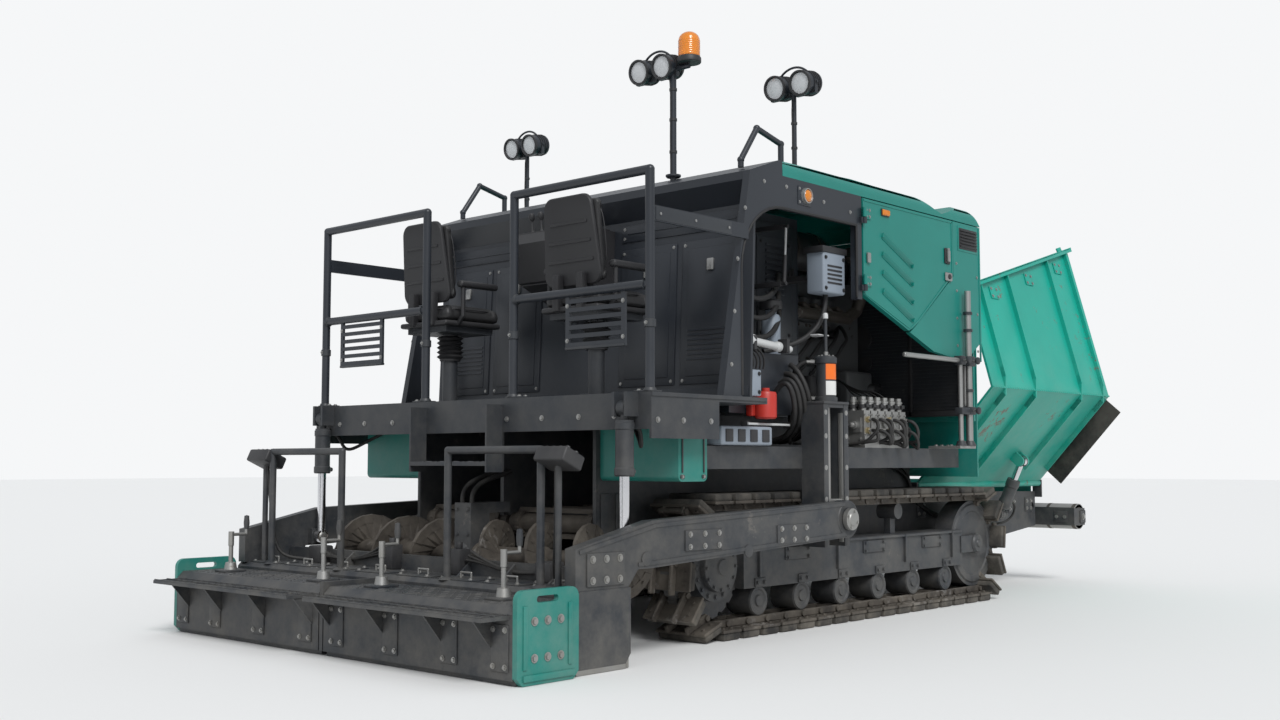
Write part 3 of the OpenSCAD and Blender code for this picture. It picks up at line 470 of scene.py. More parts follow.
# One shoe with its links; local z runs outwards from the chain's middle line
def makeShoe(half, depth):
    pad, steel = newForms(2)
    wide, gap, plateTop = track["halfWidth"], track["padGap"], depth - track["padHeight"]
    plateLow = plateTop - track["plate"]
    addBox(pad, (-half + gap, -wide + 0.006, plateTop), (half - gap, wide - 0.006, depth), 0.009)
    addBox(steel, (-half + track["plateGap"], -wide, plateLow), (half - track["plateGap"], wide, plateTop + 0.001),
           0.003, segments=1)
    pinX = -half + 0.02
    for way in (-1, 1):
        links = way * track["linkY"]
        addBox(steel, (-half + track["linkGap"], links - track["linkHalf"], track["linkLow"]),
               (half + 0.012, links + track["linkHalf"], track["linkTop"]), 0.006, segments=1)
        addRound(steel, (pinX, way * 0.074, 0), (pinX, way * 0.084, 0), 0.015, sides=12)
        addBolts(steel, spots((-0.03, 0.03), way * track["boltY"], plateLow), down, 0.009)
    addRound(steel, (pinX, -0.074, 0), (pinX, 0.074, 0), track["pinRadius"], sides=12)
    meshes = {}
    for label, form in (("Chain", steel), ("Pads", pad)):
        bmesh.ops.recalc_face_normals(form, faces=form.faces)
        meshes[label] = bpy.data.meshes.new("oneShoe" + label)
        form.to_mesh(meshes[label])
        form.free()
    return meshes


def buildTracks():
    pitch = (2 * track["base"] + math.tau * track["radius"]) / track["count"]
    depth = track["outer"] - track["radius"]
    shoe = makeShoe(pitch / 2, depth)
    for side, sign in sides.items():
        for label, finishName in (("Chain", "trackSteel"), ("Pads", "rubberPad")):
            form = bmesh.new()
            for index in range(track["count"]):
                x, z, turn = trackPlace(index * pitch)
                before = len(form.verts)
                form.from_mesh(shoe[label])
                form.verts.ensure_lookup_table()
                place = turned(math.degrees(turn), "Y", (x, sign * track["middle"], z + depth))
                bmesh.ops.transform(form, matrix=place, verts=form.verts[before:])
            makePiece(form, "track%s_%s" % (label, side), finishName, slot="track_steel",
                      replaced="track_" + side if label == "Chain" else None)
    for mesh in shoe.values():
        bpy.data.meshes.remove(mesh)


buildTracks()

# Hub covers, roller flanges and bolts on the track frames; the faces are distances from the track's middle
runGear = {"rollerRadius": 0.074, "rollerCount": 6, "rollerEnds": 0.36, "rollerFace": 0.07, "beamFace": 0.083,
           "sprocketBolts": 16, "hubFace": 0.125, "idlerFace": 0.095, "covers": (-0.62, 0.1, 0.72),
           "ribs": (-0.95, -0.26, 0.42, 0.95)}


def buildRunGear():
    form = bmesh.new()
    middle, rear, base, axle = track["middle"], track["rearAxle"], track["base"], track["outer"]
    face = middle + runGear["beamFace"]
    low = axle - (track["radius"] - 0.0183) + runGear["rollerRadius"]
    count = runGear["rollerCount"]
    for index in range(count):
        x = rear + runGear["rollerEnds"] + index * (base - 2 * runGear["rollerEnds"]) / (count - 1)
        for way in (-1, 1):
            addLathe(form, [(0, 0.012), (0.026, 0.012), (0.03, 0.004), (0.05, 0.003), (0.058, 0.009), (0.07, 0.008),
                            (0.073, 0.0), (0, 0.0)], (x, middle + way * runGear["rollerFace"], low), (0, way, 0), 24)
        addBox(form, (x - 0.045, face + 0.003, axle - 0.12), (x + 0.045, face + 0.01, axle - 0.075), 0.004)
        addBolts(form, spots((x - 0.028, x + 0.028), face + 0.01, axle - 0.097), outward, 0.009)
    hub, idler = (rear, middle + runGear["hubFace"], axle), (rear + base, middle + runGear["idlerFace"], axle)
    addLathe(form, [(0, 0.02), (0.035, 0.02), (0.04, 0.012), (0.085, 0.011), (0.1, 0.004), (0.118, 0.004),
                    (0.12, 0), (0, 0)], hub, outward, 40)
    addBolts(form, ringPoints((rear, hub[1] + 0.004, axle), 0.108, 12, outward), outward, 0.007)
    addBolts(form, ringPoints((rear, idler[1], axle), 0.145, runGear["sprocketBolts"], outward), outward, 0.01)
    addLathe(form, [(0, 0.018), (0.02, 0.018), (0.026, 0.01), (0.05, 0.01), (0.058, 0.0), (0, 0)], idler, outward)
    addLathe(form, [(0.19, 0), (0.2, 0.008), (0.235, 0.008), (0.245, 0.0), (0.19, 0)],
             (idler[0], middle + 0.0595, axle), outward, 40)
    # side plates of the beam with covers, ribs and the fold along its top
    for x in runGear["covers"]:
        addBox(form, (x - 0.11, face + 0.001, axle), (x + 0.11, face + 0.009, axle + 0.068), 0.006)
        addBolts(form, spots((x - 0.09, x + 0.09), face + 0.009, (axle + 0.012, axle + 0.056)), outward, 0.008)
    for x in runGear["ribs"]:
        addBox(form, (x - 0.007, face, axle - 0.07), (x + 0.007, face + 0.017, axle + 0.088), 0.002)
    addBox(form, (-1.05, face, axle + 0.074), (1.06, face + 0.015, axle + 0.088), 0.003)
    makePieces((form, "runGearCovers", "darkPaint"), both=True)


buildRunGear()
print("tracks and running gear built")

# What shows through the openings of the cowl: cabinet doors, rods, filters, pipes and a battery box
bay = {"wall": 0.7625, "shelf": 0.9625, "shelfTop": 1.4, "rear": -1.17, "front": -0.33, "top": 2.17, "split": -0.77,
       "ventTop": 2.0, "ventStep": 0.032, "filters": (-1.0, -0.7), "filterY": 0.86, "box": (-0.52, 1.03, 1.72),
       "redFilter": (-0.975, 1.03, 1.06), "strut": ((-0.752, 2.057), (-0.762, 1.9), (-0.772, 1.769))}


def buildCabinetDoors(doors, plain):
    wall = bay["wall"]
    for low, high in ((bay["rear"] + 0.02, bay["split"] - 0.01), (bay["split"] + 0.01, bay["front"] - 0.02)):
        addBox(doors, (low, wall - 0.001, bay["shelfTop"] + 0.03), (high, wall + 0.012, bay["top"] - 0.04), 0.006)
        addBox(doors, (low + 0.05, wall + 0.01, bay["shelfTop"] + 0.1), (high - 0.05, wall + 0.018, bay["top"] - 0.12),
               0.006)
        lock = (high - 0.06, wall + 0.018, 1.86)
        addRound(plain, lock, (lock[0], wall + 0.026, lock[2]), 0.028, 24, edge=0.002)
        addBlock(plain, (lock[0], wall + 0.03, lock[2]), (0.006, 0.006, 0.04), 0.004)
        for z in (1.52, 2.02):
            addRound(plain, (low + 0.012, wall + 0.018, z - 0.04), (low + 0.012, wall + 0.018, z + 0.04), 0.008, 12)
        addBolts(plain, spots((low + 0.08, high - 0.08), wall + 0.018, (1.53, 2.02)), outward, 0.007)
    for index in range(9):
        z = bay["ventTop"] - index * bay["ventStep"]
        addBox(doors, (-0.64, wall + 0.016, z), (-0.48, wall + 0.028, z + 0.014), 0.002)


# A thin gas strut, its ends and the round-headed filter that lies on the shelf
def buildBayRods(plain, pale):
    (x0, z0), (x1, z1), (x2, z2) = bay["strut"]
    addRound(pale, (x0, 1.0, z0), (x1, 1.0, z1), 0.006, 12)
    addRound(plain, (x1, 1.0, z1 + 0.01), (x2, 1.0, z2), 0.011, 14)
    for x, z in ((x0, 2.062), (x2 - 0.001, 1.762)):
        addRound(plain, (x, 0.985, z), (x, 1.015, z), 0.01, 12)
        addBox(plain, (x - 0.012, bay["wall"], z - 0.012), (x + 0.012, 0.986, z + 0.012), 0.002)
    addLathe(pale, [(0, -0.005), (0.03, 0.0), (0.034, 0.01), (0.034, 0.09), (0.028, 0.1), (0.02, 0.105), (0.02, 0.3),
                    (0.026, 0.305), (0.026, 0.33), (0.018, 0.34), (0.018, 0.43), (0, 0.435)],
             (-1.17, 1.03, 1.452), (0.44, -0.02, -0.03))
    for x in (-1.09, -0.82):
        addBox(plain, (x - 0.012, 1.0, 1.4), (x + 0.012, 1.06, 1.47), 0.003)
    addBox(pale, (-1.09, 1.0, 1.03), (-0.715, 1.012, 1.042), 0.003)
    for x in (-1.08, -0.725):
        addBox(plain, (x - 0.012, bay["shelf"] - 0.002, 1.02), (x + 0.012, 1.004, 1.05), 0.002)


# Filters on the shelf, boxes beside it and on the deck
def buildBayBoxes(plain, blue):
    for x in bay["filters"]:
        foot = (x, bay["filterY"], bay["shelfTop"])
        addLathe(blue, [(0, 0), (0.045, 0.0), (0.05, 0.01), (0.05, 0.2), (0.042, 0.215), (0.03, 0.22), (0.03, 0.24),
                        (0, 0.245)], foot)
        addLathe(plain, [(0, 0.243), (0.056, 0.243), (0.06, 0.25), (0.06, 0.285), (0.05, 0.295), (0, 0.297)], foot)
    x, y, z = bay["box"]
    addBox(blue, (x - 0.1, y, z), (x + 0.1, y + 0.11, z + 0.23), 0.012, segments=3)
    addBox(plain, (x - 0.115, y - 0.01, z + 0.21), (x + 0.11, y + 0.118, z + 0.245), 0.008)
    addBolts(plain, spots((x - 0.08, x + 0.08), y + 0.11, (z + 0.025, z + 0.185)), outward, 0.007)
    for index in range(5):
        level = z + 0.05 + index * 0.022
        addBox(plain, (x - 0.065, y + 0.108, level), (x + 0.065, y + 0.113, level + 0.01), 0.001)
    addBox(plain, (-0.56, 0.76, 1.8), (-0.48, 1.04, 1.83), 0.003)
    addBox(blue, (-1.2, bay["shelf"] - 0.002, 1.17), (-1.06, 1.07, 1.3), 0.008)
    addBolts(plain, spots((-1.18, -1.08), 1.07, (1.19, 1.28)), outward, 0.007)
    addBox(plain, (-1.16, 0.962, 1.3), (-1.1, 1.02, 1.315), 0.003)
    addBox(blue, (-1.4, 0.7, 0.928), (-1.0, 1.09, 1.02), 0.01, segments=3)
    for index in range(4):
        low = -1.37 + index * 0.095
        addBox(plain, (low, 1.088, 0.945), (low + 0.055, 1.096, 1.005), 0.003)


def buildBay():
    doors, plain, pale, blue, red = newForms(5)
    buildCabinetDoors(doors, plain)
    buildBayRods(plain, pale)
    buildBayBoxes(plain, blue)
    makePieces((doors, "bayDoors", "darkPaint"), (plain, "bayFittings", "blackPlastic"),
               (pale, "bayRods", "paleGrey", "dark_paint"), (blue, "bayBoxes", "greyPaint"), both=True)
    # the red filter is on the right side only
    x, y, z = bay["redFilter"]
    addLathe(red, [(0, 0), (0.048, 0.002), (0.055, 0.01), (0.055, 0.125), (0.05, 0.135), (0.02, 0.14), (0.02, 0.155),
                   (0, 0.155)], (x, -y, z), sides=32)
    addBox(red, (-1.05, -1.0, 1.075), (-0.9, 0.002 - bay["shelf"], 1.17), 0.008)
    makePiece(red, "bayRedFilter", "redPaint")


buildBay()


def buildBayHoses():
    runs = []
    for index in range(4):
        x = -0.68 - index * 0.045
        runs.append([(x, 0.97, 1.35 - index * 0.05), (x - 0.02, 1.06, 1.3), (x + 0.03, 1.09, 1.12),
                     (x + 0.1, 1.0, 1.0), (x + 0.14, 0.9, 0.96), (x + 0.15, 0.78, 0.955)])
    for index in range(3):
        z = 1.62 + index * 0.1
        runs.append([(-1.12, 0.79, z), (-1.02, 0.9, z - 0.12), (-0.86, 0.93, z - 0.17),
                     (-0.7, 0.92, z - 0.06), (-0.6, 0.84, z + 0.04), (-0.53, 0.78, z + 0.02)])
    runs.append([(-0.52, 1.08, 1.73), (-0.53, 1.09, 1.62), (-0.6, 1.06, 1.5), (-0.72, 1.0, 1.44), (-0.86, 0.93, 1.41)])
    makeHoses("bayHoses", bothSides(*runs), 0.014)
    wires = [[(-1.1 + index * 0.03, 1.02, 1.31), (-1.12 + index * 0.03, 1.06, 1.36 + index * 0.01),
              (-1.2 + index * 0.02, 1.02, 1.42), (-1.17, 0.9, 1.46 + index * 0.02),
              (-1.15, 0.78, 1.5 + index * 0.03)] for index in range(5)]
    makeHoses("bayWires", bothSides(*wires), 0.005)


buildBayHoses()
print("service bay built")


# Trim of the side doors: lips of the four slots, dark backing, latches, marker and folded edges
doorTrim = {"face": 1.2, "inside": 1.17, "slotRear": -0.16, "slotTop": 2.05, "slotStep": 0.1, "slotLong": 0.33,
            "slotCount": 4, "slotTilt": 24, "lipLean": -34, "hingeLevels": (1.78, 2.14),
            "backing": (-0.3, 0.3, 1.74, 2.1), "posts": (-0.28, -0.02, 0.26), "marker": (-0.16, 2.176),
            "markerRibs": 6, "ribPitch": 0.0108,
            "rim": [(-0.337, 1.74), (-0.337, 2.235), (0.592, 2.235), (0.592, 1.93), (0.2, 1.626), (0.125, 1.582)]}


def buildSlots(paint):
    face, inside, long = doorTrim["face"], doorTrim["inside"], doorTrim["slotLong"]
    for index in range(doorTrim["slotCount"]):
        place = turned(doorTrim["slotTilt"], "Y",
                       (doorTrim["slotRear"], 0, doorTrim["slotTop"] - index * doorTrim["slotStep"]))
        addBox(paint, (-0.004, face - 0.003, 0.026), (long + 0.004, face + 0.011, 0.031), 0.002, place)
        addBox(paint, (0.0, inside + 0.004, -0.001), (long, face + 0.004, 0.003), 0.001, place)
        lean = place @ turned(doorTrim["lipLean"], "X", (0, face + 0.009, 0.028))
        addBox(paint, (-0.004, -0.002, -0.026), (long + 0.004, 0.002, 0.002), 0.001, lean)
        for end in (-0.004, long):
            addBox(paint, (end, face - 0.003, 0.004), (end + 0.004, face + 0.012, 0.029), 0.001, place)


# Lever latch, key latch, grip and hinge plates
def buildLatches(dark, bright):
    face = doorTrim["face"]
    addBox(dark, (0.5, face, 1.985), (0.56, face + 0.009, 2.075), 0.006)
    addBox(bright, (0.518, face + 0.006, 1.995), (0.542, face + 0.022, 2.062), 0.006)
    addRound(bright, (0.53, face + 0.006, 2.067), (0.53, face + 0.018, 2.067), 0.009, 20, edge=0.002)
    addBox(bright, (0.5, face, 1.885), (0.575, face + 0.014, 1.935), 0.008)
    addRound(dark, (0.537, face + 0.01, 1.91), (0.537, face + 0.02, 1.91), 0.015, 24, edge=0.003)
    addBox(bright, (-0.315, face + 0.002, 1.9), (-0.285, face + 0.016, 1.955), 0.005)
    for z in doorTrim["hingeLevels"]:
        addBolts(bright, spots((-0.318, -0.288), face + 0.008, (z + 0.008, z + 0.042)), outward, 0.006, 0.005)


def buildDoorTrim():
    face, inside = doorTrim["face"], doorTrim["inside"]
    for side in sides:
        paint, dark, bright, amber = newForms(4)
        buildSlots(paint)
        buildLatches(dark, bright)
        rear, front, low, high = doorTrim["backing"]
        addBox(dark, (rear, inside - 0.008, low), (front, inside - 0.004, high))
        for x in doorTrim["posts"]:
            addBox(dark, (x - 0.012, inside - 0.02, 1.72), (x + 0.012, inside - 0.001, 2.22), 0.003)
        rim = doorTrim["rim"]
        for start, end in zip(rim, rim[1:] + rim[:1]):
            addStrip(paint, (start[0], face, start[1]), (end[0], face, end[1]), 0.006, 0.012)
        for z in doorTrim["hingeLevels"]:
            addBox(paint, (-0.335, face - 0.001, z - 0.006), (-0.27, face + 0.008, z + 0.056), 0.003)
        x, z = doorTrim["marker"]
        addBox(dark, (x - 0.005, face, z - 0.004), (x + 0.075, face + 0.006, z + 0.036), 0.003)
        addBox(amber, (x, face + 0.004, z), (x + 0.07, face + 0.014, z + 0.032), 0.005, segments=3)
        for index in range(doorTrim["markerRibs"]):
            low = x + 0.006 + index * doorTrim["ribPitch"]
            addBox(amber, (low, face + 0.012, z + 0.003), (low + 0.006, face + 0.0155, z + 0.029), 0.001, segments=1)
        makePieces((paint, "doorLouvres", "shadedTealPaint"), (dark, "doorBacking", "blackPlastic"),
                   (bright, "doorLatches", "bareSteel"), (amber, "doorMarker", "amberLens"), body="door", side=side)


buildDoorTrim()

# Bonnet: grab handles and grille of the roof, vents, folds and bolts of the front corners
bonnetTrim = {"side": 1.2, "roof": 2.3485, "roofTilt": 0.8, "vent": (0.67, 0.88, 2.09, 2.215), "ventCount": 6,
              "ventPitch": 0.0185, "ventLean": 35, "grilleStays": (-0.36, 0.0, 0.36),
              "grille": (-0.3, 0.02, -0.6, 0.6), "border": 0.03, "barPitch": 0.022, "barWide": 0.008,
              "handles": (-0.95, 0.95), "handleEnds": (-0.24, -0.04)}


def buildBonnetTrim():
    side = bonnetTrim["side"]
    dark, bright, paint = newForms(3)
    rear, front, low, high = bonnetTrim["vent"]
    addBox(dark, (rear, side - 0.002, low), (front, side + 0.006, high), 0.004)
    for index in range(bonnetTrim["ventCount"]):
        lean = turned(bonnetTrim["ventLean"], "X", (0, side + 0.006, low + 0.012 + index * bonnetTrim["ventPitch"]))
        addBox(dark, (rear + 0.01, -0.002, -0.001), (front - 0.01, 0.011, 0.003), 0.001, lean)
    addBox(paint, (rear - 0.012, side - 0.001, low - 0.012), (front + 0.012, side + 0.003, high + 0.012), 0.002)
    # front corner: edge fold and bolts
    addBox(paint, (0.905, side - 0.004, 1.44), (0.917, side + 0.004, 2.24), 0.002)
    addBolts(bright, spots(0.64, side, (1.52, 1.68, 1.84, 2.0)) + spots(0.88, side, (1.5, 1.72, 1.94)), outward,
             0.006, 0.005)
    for form in (dark, bright, paint):
        copyAcross(form)
    # roof: framed grille over the engine and two grab handles
    rear, front, left, right = bonnetTrim["grille"]
    border, pitch = bonnetTrim["border"], bonnetTrim["barPitch"]
    roof = turned(bonnetTrim["roofTilt"], "Y", (0, 0, bonnetTrim["roof"]))
    for low, high in (((rear, left), (front, left + border)), ((rear, right - border), (front, right)),
                      ((rear, left), (rear + border, right)), ((front - border, left), (front, right))):
        addBox(paint, (*low, 0), (*high, 0.012), 0.003, roof)
    for index in range(round((front - rear - 2 * border) / pitch)):
        x = rear + border + 0.003 + index * pitch
        addBox(dark, (x, left + border, -0.001), (x + bonnetTrim["barWide"], right - border, 0.008), 0.001, roof, 1)
    for y in bonnetTrim["grilleStays"]:
        addBox(dark, (rear + border, y - 0.008, 0.0), (front - border, y + 0.008, 0.009), 0.001, roof, 1)
    first, second = bonnetTrim["handleEnds"]
    for y in bonnetTrim["handles"]:
        addPipe(dark, [(first, y, 2.345), (first, y, 2.395), (second, y, 2.392), (second, y, 2.342)], 0.009)
        for x in (first, second):
            addRound(dark, (x, y, 2.346), (x, y, 2.354), 0.022)
    makePieces((dark, "bonnetVents", "blackPlastic"), (bright, "bonnetBolts", "bareSteel"),
               (paint, "bonnetFolds", "shadedTealPaint"))


buildBonnetTrim()
print("door and bonnet trim built")

# Work lamps: finned housings, rims and lenses on the mast heads; cable and clips on the masts
lampHeads = {"places": ((-0.7, 1.02, 2.7853), (-0.7, -1.02, 2.7853), (-1.12, -0.44, 2.895)), "spread": 0.08,
             "rise": 0.02, "lean": 10, "half": 0.055, "finCount": 4, "finPitch": 0.017, "foot": (-0.7, 1.02, 2.3453),
             "clips": (2.47, 2.6), "mast": (-1.12, -0.55), "mastClips": (2.45, 2.62, 2.78)}


def buildLampHead(middle, way, dark, glass, steel):
    face = middle + way * lampHeads["half"]
    addLathe(dark, [(0.05, -0.006), (0.064, -0.006), (0.067, 0.0), (0.067, 0.012), (0.058, 0.014),
                    (0.056, 0.004), (0.05, 0.003)], face, way, 36)
    addLathe(glass, [(0, 0.01), (0.03, 0.009), (0.056, 0.003), (0.056, 0.0), (0, 0.0)], face, way, 36)
    for index in range(lampHeads["finCount"]):
        addLathe(dark, collar(0.06, 0.0665, 0.006), middle - way * (0.04 - index * lampHeads["finPitch"]), way)
    addLathe(dark, [(0, 0.0), (0.03, 0.0), (0.05, -0.004), (0.061, -0.012), (0.061, -0.02), (0, -0.02)],
             middle - way * (lampHeads["half"] + 0.006), -way)
    # side bracket with its bolts
    for edge in (-1, 1):
        hub = middle + Vector((0, edge * 0.06, 0))
        addBox(steel, hub + Vector((-0.012, -0.003, -0.058)), hub + Vector((0.012, 0.003, 0.012)), 0.002)
        addBolts(steel, [hub + Vector((0, edge * 0.003, 0))], (0, edge, 0), 0.007, 0.007)
    addBox(steel, middle + Vector((-0.012, -0.063, -0.062)), middle + Vector((0.012, 0.063, -0.056)), 0.002)


def buildLamps():
    dark, glass, steel = newForms(3)
    lean = math.radians(lampHeads["lean"])
    for place in lampHeads["places"]:
        for way in (-1, 1):
            buildLampHead(Vector(place) + Vector((0, way * lampHeads["spread"], lampHeads["rise"])),
                          Vector((-math.cos(lean), 0, -math.sin(lean))), dark, glass, steel)
    x, y, z = lampHeads["foot"]
    for y in (-y, y):
        addBolts(steel, spots((x - 0.026, x + 0.026), (y - 0.026, y + 0.026), z + 0.01), up, 0.006, 0.006)
        for level in lampHeads["clips"]:
            addLathe(dark, collar(0.0125, 0.0165, 0.014), (x, y, level), sides=20)
    for level in lampHeads["mastClips"]:
        addLathe(dark, collar(0.0165, 0.0205, 0.016), (*lampHeads["mast"], level), sides=20)
    addLathe(steel, [(0.016, 0), (0.035, 0.0), (0.04, 0.006), (0.04, 0.014), (0.017, 0.018)],
             (*lampHeads["mast"], 2.322))
    makePieces((dark, "lampHousings", "blackPlastic"), (glass, "lampLenses", "lampGlass"),
               (steel, "lampBrackets", "darkPaint"))
    # the cables lean a little the same way on both masts
    wires = [[(-0.712, way * 1.02, 2.36), (-0.716, way * 1.025, 2.5), (-0.714, way * 1.018, 2.62),
              (-0.72, way * 1.02, 2.74), (-0.68, way * 1.03, 2.77), (-0.645, way * 1.08, 2.8)] for way in (-1, 1)]
    wires.append([(-1.137, -0.55, 2.35), (-1.141, -0.548, 2.5), (-1.139, -0.553, 2.7), (-1.14, -0.548, 2.86),
                  (-1.11, -0.51, 2.882), (-1.065, -0.46, 2.9)])
    makeHoses("lampWires", wires, 0.0045)


buildLamps()

# Rotating beacon: collar and ribbed lens with a domed top
beaconForm = {"at": (-1.12, -0.66, 2.9083), "radius": 0.055, "ribCount": 8, "ribPitch": 0.0105, "domeFoot": 0.12,
              "domeHeight": 0.045}


def buildBeacon():
    at, radius = Vector(beaconForm["at"]), beaconForm["radius"]
    dark, lens = newForms(2)
    addLathe(dark, [(0, 0), (0.06, 0), (0.063, 0.004), (0.063, 0.024), (0.058, 0.032), (0, 0.032)], at, sides=40)
    addBolts(dark, [at + Vector((0, 0, 0.012))], up, 0.004)
    profile = [(0, 0.03), (0.053, 0.03)]
    for index in range(beaconForm["ribCount"]):
        z = 0.036 + index * beaconForm["ribPitch"]
        profile += [(0.0555, z), (0.0572, z + 0.003), (0.0572, z + 0.0065), (0.0555, z + 0.0095)]
    foot, height = beaconForm["domeFoot"], beaconForm["domeHeight"]
    profile += [(radius * math.cos(math.radians(turn)), foot + height * math.sin(math.radians(turn)))
                for turn in (10, 25, 40, 55, 70, 82)] + [(0, foot + height)]
    addLathe(lens, profile, at, sides=44)
    makePiece(dark, "beaconBase", "blackPlastic")
    makePiece(lens, "beaconLens", "amberLens", replaced="beacon")


buildBeacon()

# Guard rails: foot plates, clamp collars, end collars, lower edge of the slotted panel and the band's sleeve
railTrim = {"x": -2.03, "middle": 1.62, "posts": (0.33, 1.205), "floor": 1.15, "postRadius": 0.021,
            "panel": (0.69, 1.06), "band": (1.905, 1.965)}


def buildRailTrim():
    x, floor, middle, radius = (railTrim[key] for key in ("x", "floor", "middle", "postRadius"))
    form, bolt = newForms(2)
    for y in railTrim["posts"]:
        way = 1 if y < 1 else -1
        low, high = sorted((y - 0.03 * way, y + 0.075 * way))
        addBox(form, (x - 0.025, low, floor), (x + 0.045, high, floor + 0.008), 0.002)
        addBolts(bolt, spots((x - 0.01, x + 0.028), y + way * 0.055, floor + 0.008), up, 0.008, 0.007)
        addLathe(form, [(radius, 0), (0.03, 0.0), (0.025, 0.012), (radius, 0.013)], (x, y, floor + 0.007), sides=24)
        addLathe(form, collar(radius, 0.0265, 0.038, 0.003), (x, y, floor + 0.28), sides=24)
        addBolts(bolt, [(x - 0.0255, y, floor + 0.3)], rearward, 0.006)
        addLathe(form, [(radius, 0), (0.027, 0.0), (0.023, 0.009), (radius, 0.01)], (x, y + way * radius, middle),
                 (0, way, 0), 24)
    low, high = railTrim["panel"]
    addBox(form, (x - 0.012, low, middle - 0.262), (x + 0.012, high, middle - 0.25), 0.003)
    addBolts(bolt, spots(x - 0.006, (low + 0.01, high - 0.01), (middle - 0.06, middle - 0.22)), rearward, 0.007, 0.006)
    # rubber sleeve on the side band and its screws
    low, high = railTrim["band"]
    addBox(form, (x + 0.03, 1.211, low), (x + 0.56, 1.214, high), 0.001)
    addBolts(bolt, spots((x + 0.06, x + 0.3, x + 0.54), 1.212, (low + high) / 2), outward, 0.007, 0.005)
    makePieces((form, "railTrim", "darkPaint"), (bolt, "railBolts", "bareSteel"), both=True)


buildRailTrim()
print("lamps, beacon and rails built")


# Seats: shells and cushions, whose covers the cloth solver blows out
seatForm = {"at": (-1.69, 0.55), "base": 1.5606, "half": 0.192, "shell": 0.028, "voxel": 0.009, "pressure": 4.0,
            "cap": 0.009, "backFoot": 0.125, "backHead": 0.545, "backLean": 0.098}


def swellCover(form, name):
    bmesh.ops.recalc_face_normals(form, faces=form.faces)
    mesh = bpy.data.meshes.new(name + "Rough")
    form.to_mesh(mesh)
    form.free()
    cover = bpy.data.objects.new(name, mesh)
    scene.collection.objects.link(cover)
    even = cover.modifiers.new("even", "REMESH")
    even.mode = "VOXEL"
    even.voxel_size = seatForm["voxel"]
    graph = bpy.context.evaluated_depsgraph_get()
    cover.data = bpy.data.meshes.new_from_object(cover.evaluated_get(graph))
    cover.modifiers.clear()
    bpy.data.meshes.remove(mesh)
    start = [vert.co.copy() for vert in cover.data.vertices]
    lowest = min(place.z for place in start)
    held = cover.vertex_groups.new(name="held")
    held.add([index for index, place in enumerate(start) if place.z < lowest + 0.012], 1.0, "REPLACE")
    cloth = cover.modifiers.new("cloth", "CLOTH")
    cloth.settings.quality = 5
    cloth.settings.use_pressure = True
    cloth.settings.uniform_pressure_force = seatForm["pressure"]
    cloth.settings.vertex_group_mass = "held"
    cloth.settings.effector_weights.gravity = 0.0
    cloth.point_cache.frame_start, cloth.point_cache.frame_end = 1, 20
    for step in range(1, 21):
        scene.frame_set(step)
    blown = cover.evaluated_get(bpy.context.evaluated_depsgraph_get()).to_mesh()
    for vert, place, moved in zip(cover.data.vertices, start, blown.vertices):
        step = moved.co - place
        vert.co = place + step * min(1.0, seatForm["cap"] / max(step.length, 0.00001))
    cover.evaluated_get(bpy.context.evaluated_depsgraph_get()).to_mesh_clear()
    cover.modifiers.clear()
    cover.vertex_groups.clear()
    scene.frame_set(1)
    soft = bmesh.new()
    soft.from_mesh(cover.data)
    old = cover.data
    bpy.data.objects.remove(cover)
    bpy.data.meshes.remove(old)
    return soft


# A pad with a crown, its sides pulled in a little halfway up
def padForm(length, width, height, crown):
    form = bmesh.new()
    addBox(form, (-length / 2, -width / 2, 0), (length / 2, width / 2, height), 0.03, segments=4)
    bmesh.ops.subdivide_edges(form, edges=form.edges[:], cuts=3, use_grid_fill=True)
    for vert in form.verts:
        across = 2 * vert.co.x / length
        beside = 2 * vert.co.y / width
        level = vert.co.z / height
        if level > 0.6:
            vert.co.z += crown * max(0.0, 1 - across ** 2) * max(0.0, 1 - beside ** 2)
        pull = 1 - 0.03 * math.sin(math.pi * min(max(level, 0), 1)) * (1 - min(abs(across), abs(beside)) ** 2)
        vert.co.x *= pull
        vert.co.y *= pull
    return form


def seatOutline(foot=0.21, head=0.22, low=0.188, high=0.16, corner=0.055, steps=6):
    points = []
    for x, y, turn in ((foot, low, 0), (-head, high, 90), (-head, -high, 180), (foot, -low, 270)):
        for step in range(steps + 1):
            angle = math.radians(turn + 90 * step / steps)
            points.append((x - math.copysign(corner, x) + corner * math.cos(angle),
                           y - math.copysign(corner, y) + corner * math.sin(angle)))
    return points


# A plate from an outline in its plane, pushed up in three steps so that both rims are drawn in
def addPlate(form, outline, low, high, edge=0.004, place=None):
    middle = sum((Vector(point) for point in outline), Vector((0, 0))) / len(outline)
    narrow = 1 - edge / min((Vector(point) - middle).length for point in outline)
    first = [form.verts.new((*(Vector(point) - middle) * narrow, low)) for point in outline]
    face, verts = form.faces.new(first), list(first)
    for lift, share in ((edge, 1 / narrow), (high - low - 2 * edge, 1), (edge, narrow)):
        made = bmesh.ops.extrude_face_region(form, geom=[face, *face.edges])["geom"]
        face = next(part for part in made if isinstance(part, bmesh.types.BMFace))
        ring = [part for part in made if isinstance(part, bmesh.types.BMVert)]
        bmesh.ops.scale(form, vec=(share, share, 1), verts=ring)
        bmesh.ops.translate(form, vec=(0, 0, lift), verts=ring)
        verts += ring
    bmesh.ops.transform(form, matrix=(place or Matrix()) @ Matrix.Translation((*middle, 0)), verts=verts)


